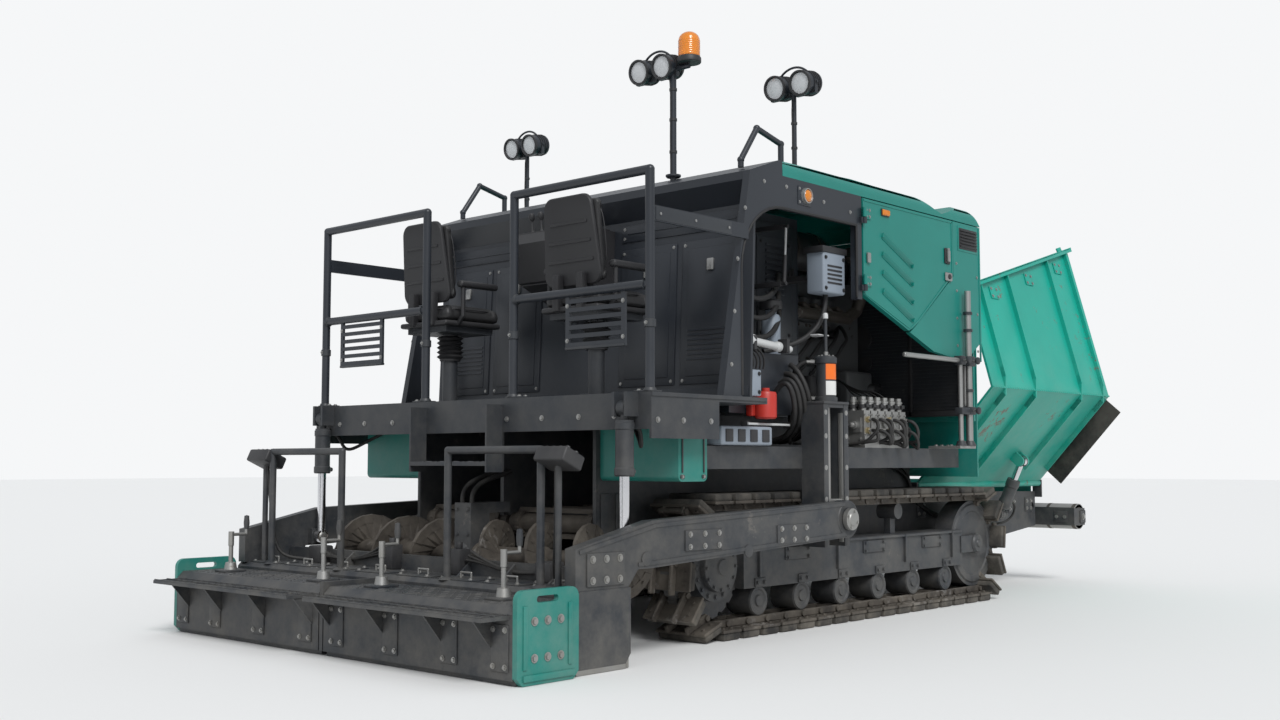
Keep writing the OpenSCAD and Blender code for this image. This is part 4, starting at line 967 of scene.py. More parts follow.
def addSeatShell(shell, backPlace):
    (x, y), base, half = seatForm["at"], seatForm["base"], seatForm["half"]
    addBox(shell, (x - half, y - half, base), (x + half, y + half, base + seatForm["shell"]), 0.012, segments=3)
    backShell = backPlace @ Matrix.Translation((0, 0, -0.012))
    addPlate(shell, seatOutline(), -0.012, 0.01, 0.006, backShell)
    for rise, wide in ((-0.09, 0.125), (0.0, 0.14), (0.09, 0.15)):
        addBox(shell, (rise - 0.008, -wide, -0.017), (rise + 0.008, wide, -0.01), 0.003, backShell)
    for way in (-1, 1):
        strut, edge = y + way * 0.08, y + way * 0.222
        addBox(shell, (x - 0.205, strut - 0.02, base + 0.004), (x - 0.165, strut + 0.02, base + 0.18), 0.006)
        addBox(shell, (x - 0.13, edge - 0.022, base + 0.2), (x + 0.13, edge + 0.022, base + 0.235), 0.014, segments=3)
        addPipe(shell, [(x - 0.1, edge - way * 0.04, base + 0.012), (x - 0.1, edge, base + 0.05),
                        (x - 0.1, edge, base + 0.21)], 0.012)
    # bellows between the shell and the post
    folds = [(0.056 + (0.016 if index % 2 else 0.0), -0.13 + index * 0.0125) for index in range(10)]
    addLathe(shell, [(0.055, -0.14), *folds, (0.055, -0.008), (0, -0.008)], (x, y, base - 0.032), sides=32)


def buildSeats():
    (x, y), base = seatForm["at"], seatForm["base"]
    pan = swellCover(padForm(0.375, 0.375, 0.07, 0.014), "panCover")
    back = swellCover(padForm(0.4, 0.365, 0.048, 0.012), "backCover")
    lean = math.atan2(seatForm["backLean"] * 0.5, seatForm["backHead"] - seatForm["backFoot"])
    panPlace = Matrix.Translation((x + 0.008, y, base + seatForm["shell"] + 0.002))
    backPlace = (Matrix.Translation((x - 0.162, y, base + 0.335)) @ Matrix.Rotation(-lean, 4, "Y")
                 @ Matrix.Rotation(math.radians(90), 4, "Y"))
    for side, sign in sides.items():
        for name, soft, place, replaced in (("seatPan", pan, panPlace, "seat"), ("seatBack", back, backPlace, None)):
            form = soft.copy()
            bmesh.ops.transform(form, matrix=place, verts=form.verts)
            piece = makePiece(form, name, "seatVinyl", "seat_swivel", "seat_cover", side, replaced, 80)
            finer = piece.modifiers.new("finer", "SUBSURF")
            finer.levels = finer.render_levels = 1
        shell = bmesh.new()
        addSeatShell(shell, backPlace)
        makePiece(shell, "seatShell", "blackPlastic", "seat_swivel", side=side)
        seams = []
        for place, long, wide, level in ((panPlace, 0.36, 0.36, 0.071), (backPlace, 0.385, 0.35, 0.049)):
            long, wide = long / 2, wide / 2
            corners = [(long, 0), (long, wide), (0, wide), (-long, wide), (-long, 0), (-long, -wide), (0, -wide),
                       (long, -wide), (long, 0)]
            points = [place @ Vector((across, beside, level * 0.86)) for across, beside in corners]
            seams.append([(point.x, sign * point.y, point.z) for point in points])
        makeHoses("seatPiping_" + side, seams, 0.0035, "seat_swivel_" + side, "blackPlastic")
    pan.free()
    back.free()


buildSeats()


# Operator's console: top panel with a blank screen, keys, levers and a stop button
consoleForm = {"top": (-1.36, 0, 2.0605), "levers": (-0.17, -0.1, 0.1, 0.17), "leverFoot": (-1.44, 2.066),
               "leverWay": (-0.12, 0, 1), "stop": (-1.3, 0.2, 2.066), "lock": (-1.3, -0.2, 2.066),
               "keyPitch": (0.05, 0.032)}


def buildConsole():
    plain, metal, screen, red = newForms(4)
    top = Matrix.Translation(consoleForm["top"])
    rowPitch, keyPitch = consoleForm["keyPitch"]
    addBox(plain, (-0.13, -0.232, 0.0), (0.1, 0.232, 0.008), 0.003, top)
    addBox(screen, (-0.1, -0.07, 0.006), (0.03, 0.07, 0.0115), 0.003, top)
    addBox(plain, (0.035, -0.085, 0.004), (0.06, 0.085, 0.05), 0.006, top)
    for row, place, way in itertools.product(range(3), range(4), (-1, 1)):
        x, y = -0.1 + row * rowPitch, way * (0.105 + place * keyPitch)
        addBox(metal if (row + place) % 3 else plain, (x - 0.011, y - 0.01, 0.006), (x + 0.011, y + 0.01, 0.0125),
               0.0025, top)
    x, z = consoleForm["leverFoot"]
    for y in consoleForm["levers"]:
        addLathe(plain, [(0.02, 0), (0.02, 0.003), (0.012, 0.01), (0.007, 0.02), (0.006, 0.07), (0.014, 0.078),
                         (0.018, 0.095), (0.014, 0.11), (0, 0.114)], (x, y, z), consoleForm["leverWay"], 24)
    addLathe(red, [(0, 0.03), (0.02, 0.03), (0.022, 0.026), (0.022, 0.016), (0.012, 0.012), (0.012, 0.0), (0, 0)],
             consoleForm["stop"])
    addLathe(metal, [(0, 0.006), (0.012, 0.006), (0.016, 0.0), (0, 0)], consoleForm["lock"], sides=24)
    for z in (1.78, 1.94):
        addBox(plain, (-1.5, -0.2, z), (-1.49, 0.2, z + 0.005), 0.001)
    addBolts(metal, spots(-1.53, (-0.21, 0.21), 1.97), (-1, 0, -0.2), 0.006, 0.005)
    makePieces((plain, "consoleTrim", "blackPlastic"), (metal, "consoleKeys", "paleGrey", "black_plastic"),
               (screen, "consoleScreen", "lampGlass"), (red, "stopButton", "redPaint", "black_plastic"))


buildConsole()
print("seats and console built")

# Tow points: strips and bolts of the guide columns, fittings and plain labels of the levelling rams, travel rods
towForm = {"x": -0.58, "columnFace": 1.178, "columnHalf": 0.11, "slot": 0.07, "low": 0.42, "top": 1.145, "ramY": 1.12,
           "tow": 0.56, "armOut": 1.245, "portLevels": (1.175, 1.365), "labelRadius": 0.0512,
           "labelTurn": (34, 112)}


def addLabels():
    orange, white = newForms(2)
    x, y, radius = towForm["x"], towForm["ramY"], towForm["labelRadius"]
    start, span = (math.radians(turn) for turn in towForm["labelTurn"])
    for form, low, high in ((white, 1.19, 1.262), (orange, 1.27, 1.35)):
        verts = [form.verts.new((x + radius * math.cos(start), y + radius * math.sin(start), z)) for z in (low, high)]
        bmesh.ops.spin(form, geom=verts + [form.edges.new(verts)], cent=(x, y, 0), axis=up, angle=span, steps=8)
        bmesh.ops.solidify(form, geom=form.faces[:], thickness=0.0008)
        copyAcross(form)
    makePiece(orange, "labelOrange", "orangeLabel", slot="amber_lens", smooth=60)
    makePiece(white, "labelWhite", "whiteLabel", smooth=60)


def buildTowPoints():
    x, face, half, ram, low, top = (towForm[key] for key in ("x", "columnFace", "columnHalf", "ramY", "low", "top"))
    dark, bright, grey = newForms(3)
    for way in (-1, 1):
        rear, front = sorted((x + way * towForm["slot"], x + way * half))
        addBox(dark, (rear, face - 0.001, low), (front, face + 0.002, top), 0.001)
        addBolts(bright, spots(x + way * 0.092, face + 0.002, (0.5, 0.66, 0.82, 0.98, 1.1)), outward, 0.009, 0.002)
        strip = x + way * 0.0665
        addBox(bright, (strip - 0.0025, face - 0.03, low + 0.02), (strip + 0.0025, face - 0.004, 1.1), 0.001)
    addBox(dark, (x - half - 0.004, 1.042, top - 0.002), (x + half + 0.004, face + 0.008, top + 0.012), 0.004)
    addLathe(dark, [(0.051, 0.0), (0.058, 0.0), (0.058, 0.022), (0.051, 0.026)], (x, ram, 1.157), sides=32)
    addLathe(dark, [(0.0505, 0), (0.057, 0.003), (0.057, 0.03), (0.05, 0.038), (0.02, 0.044), (0, 0.044)],
             (x, ram, 1.352), sides=32)
    addBolts(bright, ringPoints((x, ram, 1.392), 0.036, 6), up, 0.005, 0.006)
    direction = Vector((-0.5, -0.86, 0))
    for z in towForm["portLevels"]:
        start = Vector((x, ram, z)) + direction * 0.048
        addRound(bright, start, start + direction * 0.03, 0.012, 6)
        addRound(bright, start + direction * 0.028, start + direction * 0.05, 0.009, 18)
    # scale and cap of the thin travel rod
    addLathe(bright, [(0.009, 0), (0.013, 0.002), (0.013, 0.02), (0.009, 0.022)], (x, ram, 1.394), sides=20)
    addLathe(grey, [(0, 0.018), (0.01, 0.016), (0.014, 0.008), (0.014, -0.012), (0.009, -0.014)], (x, ram, 1.6),
             sides=20)
    addBox(grey, (x - 0.05, ram - 0.1, 1.5), (x + 0.05, ram - 0.012, 1.506), 0.002)
    makePieces((dark, "towColumns", "darkPaint"), (bright, "towFittings", "bareSteel"),
               (grey, "travelRods", "paleGrey", "bare_steel"), both=True)
    addLabels()
    hoses = [[(x - 0.05, ram - 0.083, z), (x - 0.075, ram - 0.13, z - 0.005), (x - 0.1, ram - 0.16, z - 0.12),
              (x - 0.06, 0.93, z - 0.25), (x + 0.02, 0.88, 0.97), (x + 0.16, 0.84, 0.945), (x + 0.4, 0.8, 0.94)]
             for z in towForm["portLevels"]]
    makeHoses("towHoses", bothSides(*hoses), 0.011)


buildTowPoints()


# Screed arms: end plates, pin caps with their lock bolts, welded stiffeners and bolted wear plates
armForm = {"edges": [[(-0.61, 0.635), (-2.04, 0.578), (-2.5, 0.487)], [(-0.61, 0.485), (-2.05, 0.422), (-2.15, 0.42)]],
           "plates": (-1.05, -1.72), "rounds": (-1.4, -2.1), "cap": 1.2745}


def buildArms():
    x, tow, outside = towForm["x"], towForm["tow"], towForm["armOut"]
    form, bright, caps = newForms(3)
    addLathe(form, [(0.0, 0.0), (0.078, 0.0), (0.086, 0.004), (0.09, 0.0), (0.09, -0.004), (0, -0.004)],
             (x, outside + 0.0005, tow), outward, 40)
    for edge in armForm["edges"]:
        for (rear, low), (front, high) in zip(edge, edge[1:]):
            addStrip(form, (rear, outside, low), (front, outside, high), 0.009, 0.016)
    for middle in armForm["plates"]:
        addBox(form, (middle - 0.13, outside - 0.001, 0.46), (middle + 0.13, outside + 0.008, 0.55), 0.004)
        addBolts(bright, spots((middle - 0.1, middle, middle + 0.1), outside + 0.008, (0.478, 0.532)), outward, 0.009)
    addBox(form, (-2.46, outside - 0.001, 0.345), (-2.24, outside + 0.009, 0.48), 0.005)
    addBolts(bright, spots((-2.43, -2.35, -2.27), outside + 0.009, (0.37, 0.455)), outward)
    for middle in armForm["rounds"]:
        addRound(form, (middle, outside - 0.001, 0.44), (middle, outside + 0.006, 0.44), 0.03, 28, edge=0.003)
    makePieces((form, "armPlates", "darkPaint"), (bright, "armBolts", "bareSteel"), body="screed", both=True)
    cap = (x, armForm["cap"], tow)
    addLathe(caps, [(0, 0.006), (0.03, 0.006), (0.036, 0.0), (0, 0)], cap, outward, 32)
    addBolts(caps, ringPoints(cap, 0.043, 4, outward, 0.4), outward, 0.006, 0.006)
    makePieces((caps, "towCaps", "bareSteel"), body="tow_blocks", both=True)


buildArms()
print("tow points and arms built")

# Right side: fittings and hoses of the valve block, clamps of the guide rods
valveForm = {"first": -0.0575, "ends": (-0.1, 0.35), "sections": 6, "step": 0.073, "face": -1.028,
             "portLevels": (1.02, 1.08), "looms": 5}


def buildValveSection(index, bright, brass, dark):
    x, face, runs = valveForm["first"] + index * valveForm["step"], valveForm["face"], []
    for z in valveForm["portLevels"]:
        addRound(bright if index % 3 else brass, (x, face, z), (x, face - 0.016, z), 0.017, 6)
        addRound(bright, (x, face - 0.015, z), (x, face - 0.032, z), 0.012, 20, edge=0.002)
        drop, way, lift = 0.06 + 0.012 * index, 0.03 if index % 2 else -0.02, 0.01 * (index % 2)
        runs.append([(x, face - 0.03, z), (x, -1.085, z), (x + way, -1.115, z - 0.03), (x + way, -1.11, z - drop),
                     (x + way * 2, -1.06, 0.96), (x + way * 2, -0.99, 0.945 + lift), (x + way * 3, -0.9, 0.945),
                     (x + way * 4, -0.78, 0.95)])
    for y in (-0.94, -1.0):
        addLathe(bright, [(0.0205, 0.0), (0.0235, 0.0), (0.0235, 0.01), (0.018, 0.014), (0.018, 0.03), (0, 0.032)],
                 (x, y, 1.1755), sides=20)
        addLathe(dark, [(0.02, 0), (0.026, 0.0), (0.026, 0.02), (0.02, 0.022)], (x, y, 1.142), sides=24)
        addBox(dark, (x - 0.014, y - 0.036, 1.148), (x + 0.014, y - 0.02, 1.168), 0.003)
    addBolts(bright, spots((x - 0.022, x + 0.022), face, (1.0, 1.108)), inward, 0.005, 0.006)
    return runs


def buildValves():
    bright, brass, dark = newForms(3)
    runs = []
    for index in range(valveForm["sections"]):
        runs += buildValveSection(index, bright, brass, dark)
    for x, way in zip(valveForm["ends"], (-1, 1)):
        addLathe(bright, [(0, 0.05), (0.014, 0.05), (0.014, 0.02), (0.022, 0.018), (0.022, 0.0), (0, 0)],
                 (x - way * 0.004, -0.97, 1.05), (way, 0, 0), 24)
        addBolts(bright, spots(x, (-0.93, -1.01), (0.945, 0.975)), (way, 0, 0), 0.007, 0.007)
        runs.append([(x + way * 0.04, -0.97, 1.05), (x + way * 0.11, -0.975, 1.05), (x + way * 0.15, -0.97, 1.02),
                     (x + way * 0.16, -0.93, 0.96), (x + way * 0.2, -0.84, 0.95), (x + way * 0.22, -0.72, 0.95)])
    makePieces((bright, "valveFittings", "bareSteel"), (brass, "valveNuts", "brassFitting"),
               (dark, "valveCoils", "blackPlastic"))
    makeHoses("valveHoses", runs, 0.0095)
    looms = [[(0.02 + index * 0.07, -0.965, 1.16), (0.03 + index * 0.06, -0.9, 1.22 + 0.01 * index),
              (0.12 + index * 0.03, -0.8, 1.24), (0.3, -0.66, 1.3), (0.4, -0.5, 1.35), (0.45, -0.41, 1.4)]
             for index in range(valveForm["looms"])]
    makeHoses("valveWires", looms, 0.0045)


buildValves()

# Guide rods: clamp blocks with knobs, collars, flanged feet and the bolts of the foot
guideForm = {"rod": 0.7, "second": 0.6, "y": -1.235, "level": 1.43, "foot": 0.9395, "collars": (1.25, 1.6, 1.7),
             "footBolts": (0.585, 0.65, 0.72)}


def buildGuideTrim():
    x, second, y, level, foot = (guideForm[key] for key in ("rod", "second", "y", "level", "foot"))
    dark, bright = newForms(2)
    addBox(dark, (x - 0.034, y - 0.03, level - 0.03), (x + 0.034, y + 0.032, level + 0.028), 0.006)
    addBox(dark, (second - 0.026, y - 0.026, level - 0.026), (second + 0.026, y + 0.026, level + 0.026), 0.006)
    addBox(dark, (x - 0.032, y - 0.028, 1.12), (x + 0.032, y + 0.03, 1.165), 0.006)
    addBox(dark, (second - 0.024, y - 0.024, 1.12), (x, y + 0.024, 1.16), 0.005)
    for across, z in ((x, level), (second, level), (x, 1.142)):
        addRound(bright, (across, y - 0.026, z), (across, y - 0.056, z), 0.006, 14)
        addLathe(dark, [(0, 0.02), (0.012, 0.02), (0.02, 0.016), (0.022, 0.008), (0.018, 0.0), (0, 0)],
                 (across, y - 0.05, z), inward, 20)
    addLathe(bright, [(0, 0.012), (0.008, 0.011), (0.012, 0.006), (0.013, 0.0), (0, 0)], (0.004, y, level), rearward,
             20)
    for z in guideForm["collars"]:
        addLathe(dark, collar(0.019, 0.0265, 0.018), (x, y, z), sides=24)
    addBolts(bright, spots(guideForm["footBolts"], (-1.08, -1.18), 0.94), up, 0.009)
    for across, radius in ((x, 0.0355), (second, 0.03)):
        addLathe(dark, [(0.02, 0.03), (0.024, 0.028), (radius, 0.004), (radius, 0.0), (0.012, 0)], (across, y, foot))
    # a blank strip beside the rod
    addBox(bright, (0.63, y - 0.016, 1.17), (0.636, y + 0.016, 1.4), 0.001)
    makePieces((dark, "guideClamps", "darkPaint"), (bright, "guideBolts", "bareSteel"))


buildGuideTrim()

# Floor, steps and tanks: raised treads, bolts, filler caps, edge strips and straps
floorForm = {"platform": (-2.035, -1.55, -1.205, 1.205, 1.151), "step": (-2.155, -2.07, -0.27, 0.27, 0.851),
             "decks": ((-0.42, -0.14), (0.72, 0.9), (-1.55, -1.42)), "deckSides": (0.69, 1.03), "deckTop": 0.926,
             "pitch": 0.052, "barLong": 0.03, "barWide": 0.007, "strapX": (-1.755, -1.605), "filler": (-1.68, 1.04)}


def addTreads(form, rear, front, left, right, top):
    pitch, long, wide = floorForm["pitch"], floorForm["barLong"], floorForm["barWide"]
    for row, place in itertools.product(range(int((front - rear) / pitch)), range(int((right - left) / pitch))):
        x, y = rear + pitch * (row + 0.5), left + pitch * (place + 0.5)
        bar = turned(45 if (row + place) % 2 else -45, "Z", (x, y, top)) @ Matrix.Diagonal((long, wide, 0.003, 1))
        for vert in bmesh.ops.create_cube(form, size=1, matrix=bar)["verts"]:
            if vert.co.z > top:
                vert.co.x = x + (vert.co.x - x) * 0.8
                vert.co.y = y + (vert.co.y - y) * 0.8


def buildFloor():
    form, bright, paint = newForms(3)
    addTreads(form, *floorForm["platform"])
    addTreads(form, *floorForm["step"])
    low, high = floorForm["deckSides"]
    for left, right in ((-high, -low), (low, high)):
        for rear, front in floorForm["decks"]:
            addTreads(form, rear, front, left, right, floorForm["deckTop"])
    # the platform's edge angle with its bolts, and the bolts at its rear
    for left in (-1.246, 1.24):
        addBox(form, (-2.06, left, 1.132), (-1.25, left + 0.006, 1.15), 0.001)
    addBolts(bright, spots((-2.02, -1.85, -1.66), 1.24, 1.03), outward, 0.009)
    addBolts(bright, spots(-2.06, (0.32, 0.56, 0.8, 1.02), 1.05), rearward, 0.009)
    # filler cap with its grip, and the tank's straps
    x, z = floorForm["filler"]
    addLathe(bright, [(0, 0.02), (0.02, 0.02), (0.03, 0.016), (0.036, 0.012), (0.041, 0.0), (0, 0)], (x, 1.165, z),
             outward, 32)
    addBox(bright, (x - 0.006, 1.18, z - 0.025), (x + 0.006, 1.192, z + 0.025), 0.003)
    for x in floorForm["strapX"]:
        addBox(paint, (x - 0.004, 1.148, 0.8), (x + 0.004, 1.156, 1.08), 0.002)
        addBox(paint, (x - 0.014, 1.148, 0.775), (x + 0.014, 1.156, 0.79), 0.003)
    addBolts(bright, spots(floorForm["strapX"], 1.15, 0.782), outward, 0.007)
    makePieces((bright, "platformBolts", "bareSteel"), (paint, "tankStraps", "darkPaint"), both=True)
    makePiece(form, "treadBars", "darkPaint")


buildFloor()
print("valves, guide rods and platform built")

# Hopper wings: wear plates inside, rubber at the front edge, gussets and bolts outside
wingForm = {"hinge": (0.69, 0.7), "rest": 48, "side": 57, "floor": 0.8, "plate": 0.014, "rear": 1.01, "front": 2.66,
            "sideRear": 0.65, "sideFront": 1.09, "ribs": (1.16, 1.56, 2.22, 2.56), "pads": (1.35, 1.9, 2.4),
            "linerCount": 3, "linerPitch": 0.535, "linerLong": 0.525, "beadCount": 55, "beadPitch": 0.03,
            "ramFoot": (2.0, 0.74, 0.5), "ramHead": (2.0, 0.9003, 0.8528)}
wingSlope = (wingForm["sideFront"] - wingForm["sideRear"]) / (wingForm["front"] - wingForm["rear"])
wingBase = turned(wingForm["rest"], "X", (0, *wingForm["hinge"]))
wingLean = wingBase @ turned(wingForm["side"] - 90, "X", (0, wingForm["floor"], 0))


def wingTop(x):
    return wingForm["sideRear"] + wingSlope * (x - wingForm["rear"])


def addScrews(form, place, points, direction):
    for point in points:
        addLathe(form, [(0, 0.002), (0.006, 0.002), (0.007, 0.004), (0.014, 0.003), (0.016, 0), (0, 0)], place @ point,
                 place.to_3x3() @ Vector(direction), 14)


def buildLiners(liner, bolt):
    floor, plate, long = wingForm["floor"], wingForm["plate"], wingForm["linerLong"]
    for index in range(wingForm["linerCount"]):
        low = wingForm["rear"] + 0.03 + index * wingForm["linerPitch"]
        addBox(liner, (low, 0.05, plate - 0.001), (low + long, floor - 0.03, plate + 0.008), 0.002, wingBase)
        addBox(liner, (low, -plate - 0.008, 0.03), (low + long, -plate + 0.001, min(0.42, wingTop(low) - 0.08)), 0.002,
               wingLean)
        across = (low + 0.05, low + 0.26, low + 0.475)
        addScrews(bolt, wingBase, spots(across, (0.12, 0.4, 0.7), plate + 0.008), up)
        addScrews(bolt, wingLean, spots(across, -plate - 0.008, (0.1, 0.34)), inward)


# Gussets over the knee, weld beads along it, edge strip, bolted pads and lifting eye
def buildGussets(paint, bolt):
    rear, front, floor = (wingForm[key] for key in ("rear", "front", "floor"))
    for x in wingForm["ribs"]:
        corners = [wingLean @ Vector((x, y, z)) for y, z in ((0, 0.13), (0.024, 0.13), (0.024, 0.07))]
        corners += [wingBase @ Vector((x, y, z)) for y, z in ((floor - 0.03, -0.03), (floor - 0.12, -0.03),
                                                              (floor - 0.12, 0))]
        addPrism(paint, corners, (0.012, 0, 0))
    for index in range(wingForm["beadCount"]):
        place = wingLean @ Vector((rear + 0.02 + index * wingForm["beadPitch"], 0.001, 0.003))
        bmesh.ops.create_icosphere(paint, subdivisions=1, radius=0.008,
                                   matrix=Matrix.Translation(place) @ Matrix.Diagonal((2.1, 1, 1, 1)))
    edge = wingLean @ turned(-math.degrees(math.atan(wingSlope)), "Y", (rear, 0, wingForm["sideRear"]))
    long = math.hypot(front - rear, wingForm["sideFront"] - wingForm["sideRear"])
    addBox(paint, (0.004, 0.029, -0.03), (long - 0.004, 0.034, -0.001), 0.002, edge)
    for x in wingForm["pads"]:
        top = wingTop(x) - 0.09
        addBox(paint, (x - 0.05, 0.0, top - 0.06), (x + 0.05, 0.007, top + 0.02), 0.004, wingLean)
        points = spots((x - 0.034, x + 0.034), 0.007, (top - 0.045, top + 0.005))
        addBolts(bolt, [wingLean @ point for point in points], wingLean.to_3x3() @ Vector(outward), 0.007, 0.006)
    addBox(paint, (-0.035, -0.006, -0.01), (0.035, 0.006, 0.028), 0.003,
           edge @ Matrix.Translation((long - 0.12, -0.006, 0.0)))


def buildWingRam(barrel, rod):
    foot, head = Vector(wingForm["ramFoot"]), Vector(wingForm["ramHead"])
    way = (head - foot).normalized()
    addLathe(barrel, [(0.0225, 0.232), (0.03, 0.254), (0.043, 0.252), (0.0445, 0.24), (0.0445, 0.205), (0.041, 0.2),
                      (0.041, 0.11), (0.044, 0.104), (0.044, 0.07), (0.04, 0.06)], foot, way, 32)
    for along in (0.085, 0.215):
        start = foot + way * along + Vector((0.04, 0, 0))
        addRound(barrel, start, start + Vector((0.02, 0, 0)), 0.012, 6)
    for edge in (-0.018, 0.018):
        addLathe(rod, [(0.0232, 0), (0.034, 0), (0.0365, 0.003), (0.031, 0.005), (0.0232, 0.005)],
                 head + Vector((edge, 0, 0)), (math.copysign(1, edge), 0, 0), 32)


def buildWings():
    front, floor = wingForm["front"], wingForm["floor"]
    for side in sides:
        liner, rubber, paint, bolt, barrel, rod = newForms(6)
        buildLiners(liner, bolt)
        addBox(rubber, (front + 0.001, 0.11, -0.13), (front + 0.011, floor - 0.03, 0.014), 0.003, wingBase)
        addBox(paint, (front + 0.01, 0.12, -0.03), (front + 0.017, floor - 0.04, 0.006), 0.002, wingBase)
        addBolts(bolt, [wingBase @ Vector((front + 0.017, 0.16 + index * 0.115, -0.012)) for index in range(6)],
                 forward, 0.008, 0.007)
        buildGussets(paint, bolt)
        buildWingRam(barrel, rod)
        # the gussets take the wing teal, brightened as painted sunlight
        makePieces((liner, "wingLiner", "trackSteel"), (rubber, "wingRubber", "rubberPad"),
                   (paint, "wingGussets", "sunlitTealPaint"), (bolt, "wingBolts", "bareSteel"), body="wing", side=side)
        makePieces((barrel, "wingBarrelCap", "darkPaint"), body="wing_barrel", side=side)
        makePieces((rod, "wingRodCap", "darkPaint"), body="wing_rod", side=side)


buildWings()
makeHoses("wingHoses", bothSides([(2.06, 0.775, 0.577), (2.1, 0.8, 0.58), (2.15, 0.77, 0.5), (2.12, 0.72, 0.44),
                                  (2.06, 0.69, 0.43), (2.03, 0.668, 0.43)]), 0.008)

# Push rollers: pivot cap, plates and strips on the beam, end plates and bands on the rollers
pushForm = {"roller": 2.91, "level": 0.46, "plates": (0.2, 0.5, 0.8), "ends": ((0.068, -1), (0.876, 1)),
            "bands": (0.27, 0.47, 0.67)}


def buildPush():
    beam, bright, caps = newForms(3)
    x, z = pushForm["roller"], pushForm["level"]
    addBox(beam, (x - 0.045, 0.9, z - 0.045), (x + 0.036, 0.906, z + 0.045), 0.008)
    addBolts(bright, [(x, 0.906, z)], outward, 0.016, 0.012)
    for y in pushForm["plates"]:
        addBox(beam, (2.775, y - 0.05, 0.42), (2.781, y + 0.05, 0.5), 0.003)
        addBolts(bright, spots(2.775, (y - 0.03, y + 0.03), 0.46), rearward, 0.009)
    addBox(beam, (2.79, 0.06, 0.518), (2.8, 0.89, 0.526), 0.002)
    addBox(beam, (2.804, 0.06, 0.4), (2.82, 0.89, 0.41), 0.002)
    makePieces((beam, "pushTrim", "darkPaint"), (bright, "pushBolts", "bareSteel"), body="push_bar", both=True)
    addLathe(caps, [(0, 0.018), (0.02, 0.018), (0.028, 0.012), (0.04, 0.01), (0.046, 0.0), (0, 0)], (2.72, 0, 0.525),
             sides=32)
    addBolts(caps, ringPoints((2.72, 0, 0.535), 0.034, 4, up, 0.5), up, 0.006, 0.006)
    addBolts(caps, spots(2.672, (-0.18, -0.1, 0.1, 0.18), (0.43, 0.49)), forward, 0.009)
    makePiece(caps, "pivotCap", "bareSteel")
    for side in sides:
        form = bmesh.new()
        for y, way in pushForm["ends"]:
            addLathe(form, [(0, 0.004), (0.06, 0.004), (0.066, 0.0), (0.085, 0.0), (0.0905, -0.005), (0.0905, -0.03),
                            (0.0895, -0.032)], (x, y, z), (0, way, 0), 40)
            addBolts(form, ringPoints((x, y + way * 0.002, z), 0.045, 6, (0, way, 0)), (0, way, 0), 0.006, 0.0035)
        for y in pushForm["bands"]:
            addLathe(form, [(0.0895, -0.012), (0.0912, -0.01), (0.0912, 0.01), (0.0895, 0.012)], (x, y, z), outward, 40)
        makePiece(form, "rollerTrim", "trackSteel", "push_roller", "bare_steel", side)


buildPush()
print("wings and push rollers built")

# Conveyor chains: side links and pins on every run of the four chains
conveyorForm = {"ends": (-1.72, 2.55), "middle": 0.55, "radius": 0.05, "links": 57, "chains": (0.08, 0.58), "teeth": 9}


def buildChains():
    form = bmesh.new()
    (rear, front), middle = conveyorForm["ends"], conveyorForm["middle"]
    pitch, reach = (front - rear) / conveyorForm["links"], conveyorForm["radius"] + 0.004
    for chain in conveyorForm["chains"]:
        for z, index in itertools.product((middle + reach, middle - reach), range(conveyorForm["links"])):
            x, apart = rear + pitch * index, 0.024 if index % 2 else 0.03
            for edge in (chain - apart, chain + apart):
                addBox(form, (x - 0.008, edge - 0.003, z - 0.014), (x + pitch + 0.008, edge + 0.003, z + 0.014), 0.004,
                       segments=1)
            addRound(form, (x, chain - 0.036, z), (x, chain + 0.036, z), 0.009, 8)
        for x, index in itertools.product((rear, front), range(conveyorForm["teeth"])):
            place = turned(360 * index / conveyorForm["teeth"], "Y", (x, chain, middle))
            addBox(form, (-0.008, -0.012, 0.04), (0.008, 0.012, 0.062), 0.003, place, 1)
    makePieces((form, "conveyorChains", "trackSteel"), both=True)


buildChains()

# Augers: wear segments bolted to the flight, hubs and shaft couplings; gearbox covers of the hanger
augerForm = {"x": -1.995, "z": 0.4, "radius": 0.172, "low": 0.1, "run": 0.936, "steps": 60, "stepTurn": 18,
             "segment": 5, "collars": (0.075, 0.5, 1.035), "end": 1.06}


# Step of the flight, distance from the shaft and distance along it
def augerPoint(step, reach, along):
    turn = math.radians(augerForm["stepTurn"] * step)
    return (augerForm["x"] + reach * math.cos(turn),
            augerForm["low"] + augerForm["run"] * step / augerForm["steps"] + along,
            augerForm["z"] + reach * math.sin(turn))


def addWear(form, step):
    inner, outer = augerForm["radius"] - 0.045, augerForm["radius"] + 0.001
    corners = ((inner, -0.004), (outer, -0.004), (outer, 0.018), (inner, 0.018))
    face = form.faces.new([form.verts.new(augerPoint(step, *corner)) for corner in corners])
    made = bmesh.ops.extrude_face_region(form, geom=[face])["geom"]
    ends = [part for part in made if isinstance(part, bmesh.types.BMVert)]
    bmesh.ops.rotate(form, cent=(augerForm["x"], 0, augerForm["z"]), verts=ends,
                     matrix=Matrix.Rotation(math.radians(-augerForm["stepTurn"]), 3, "Y"))
    bmesh.ops.translate(form, vec=(0, augerForm["run"] / augerForm["steps"], 0), verts=ends)


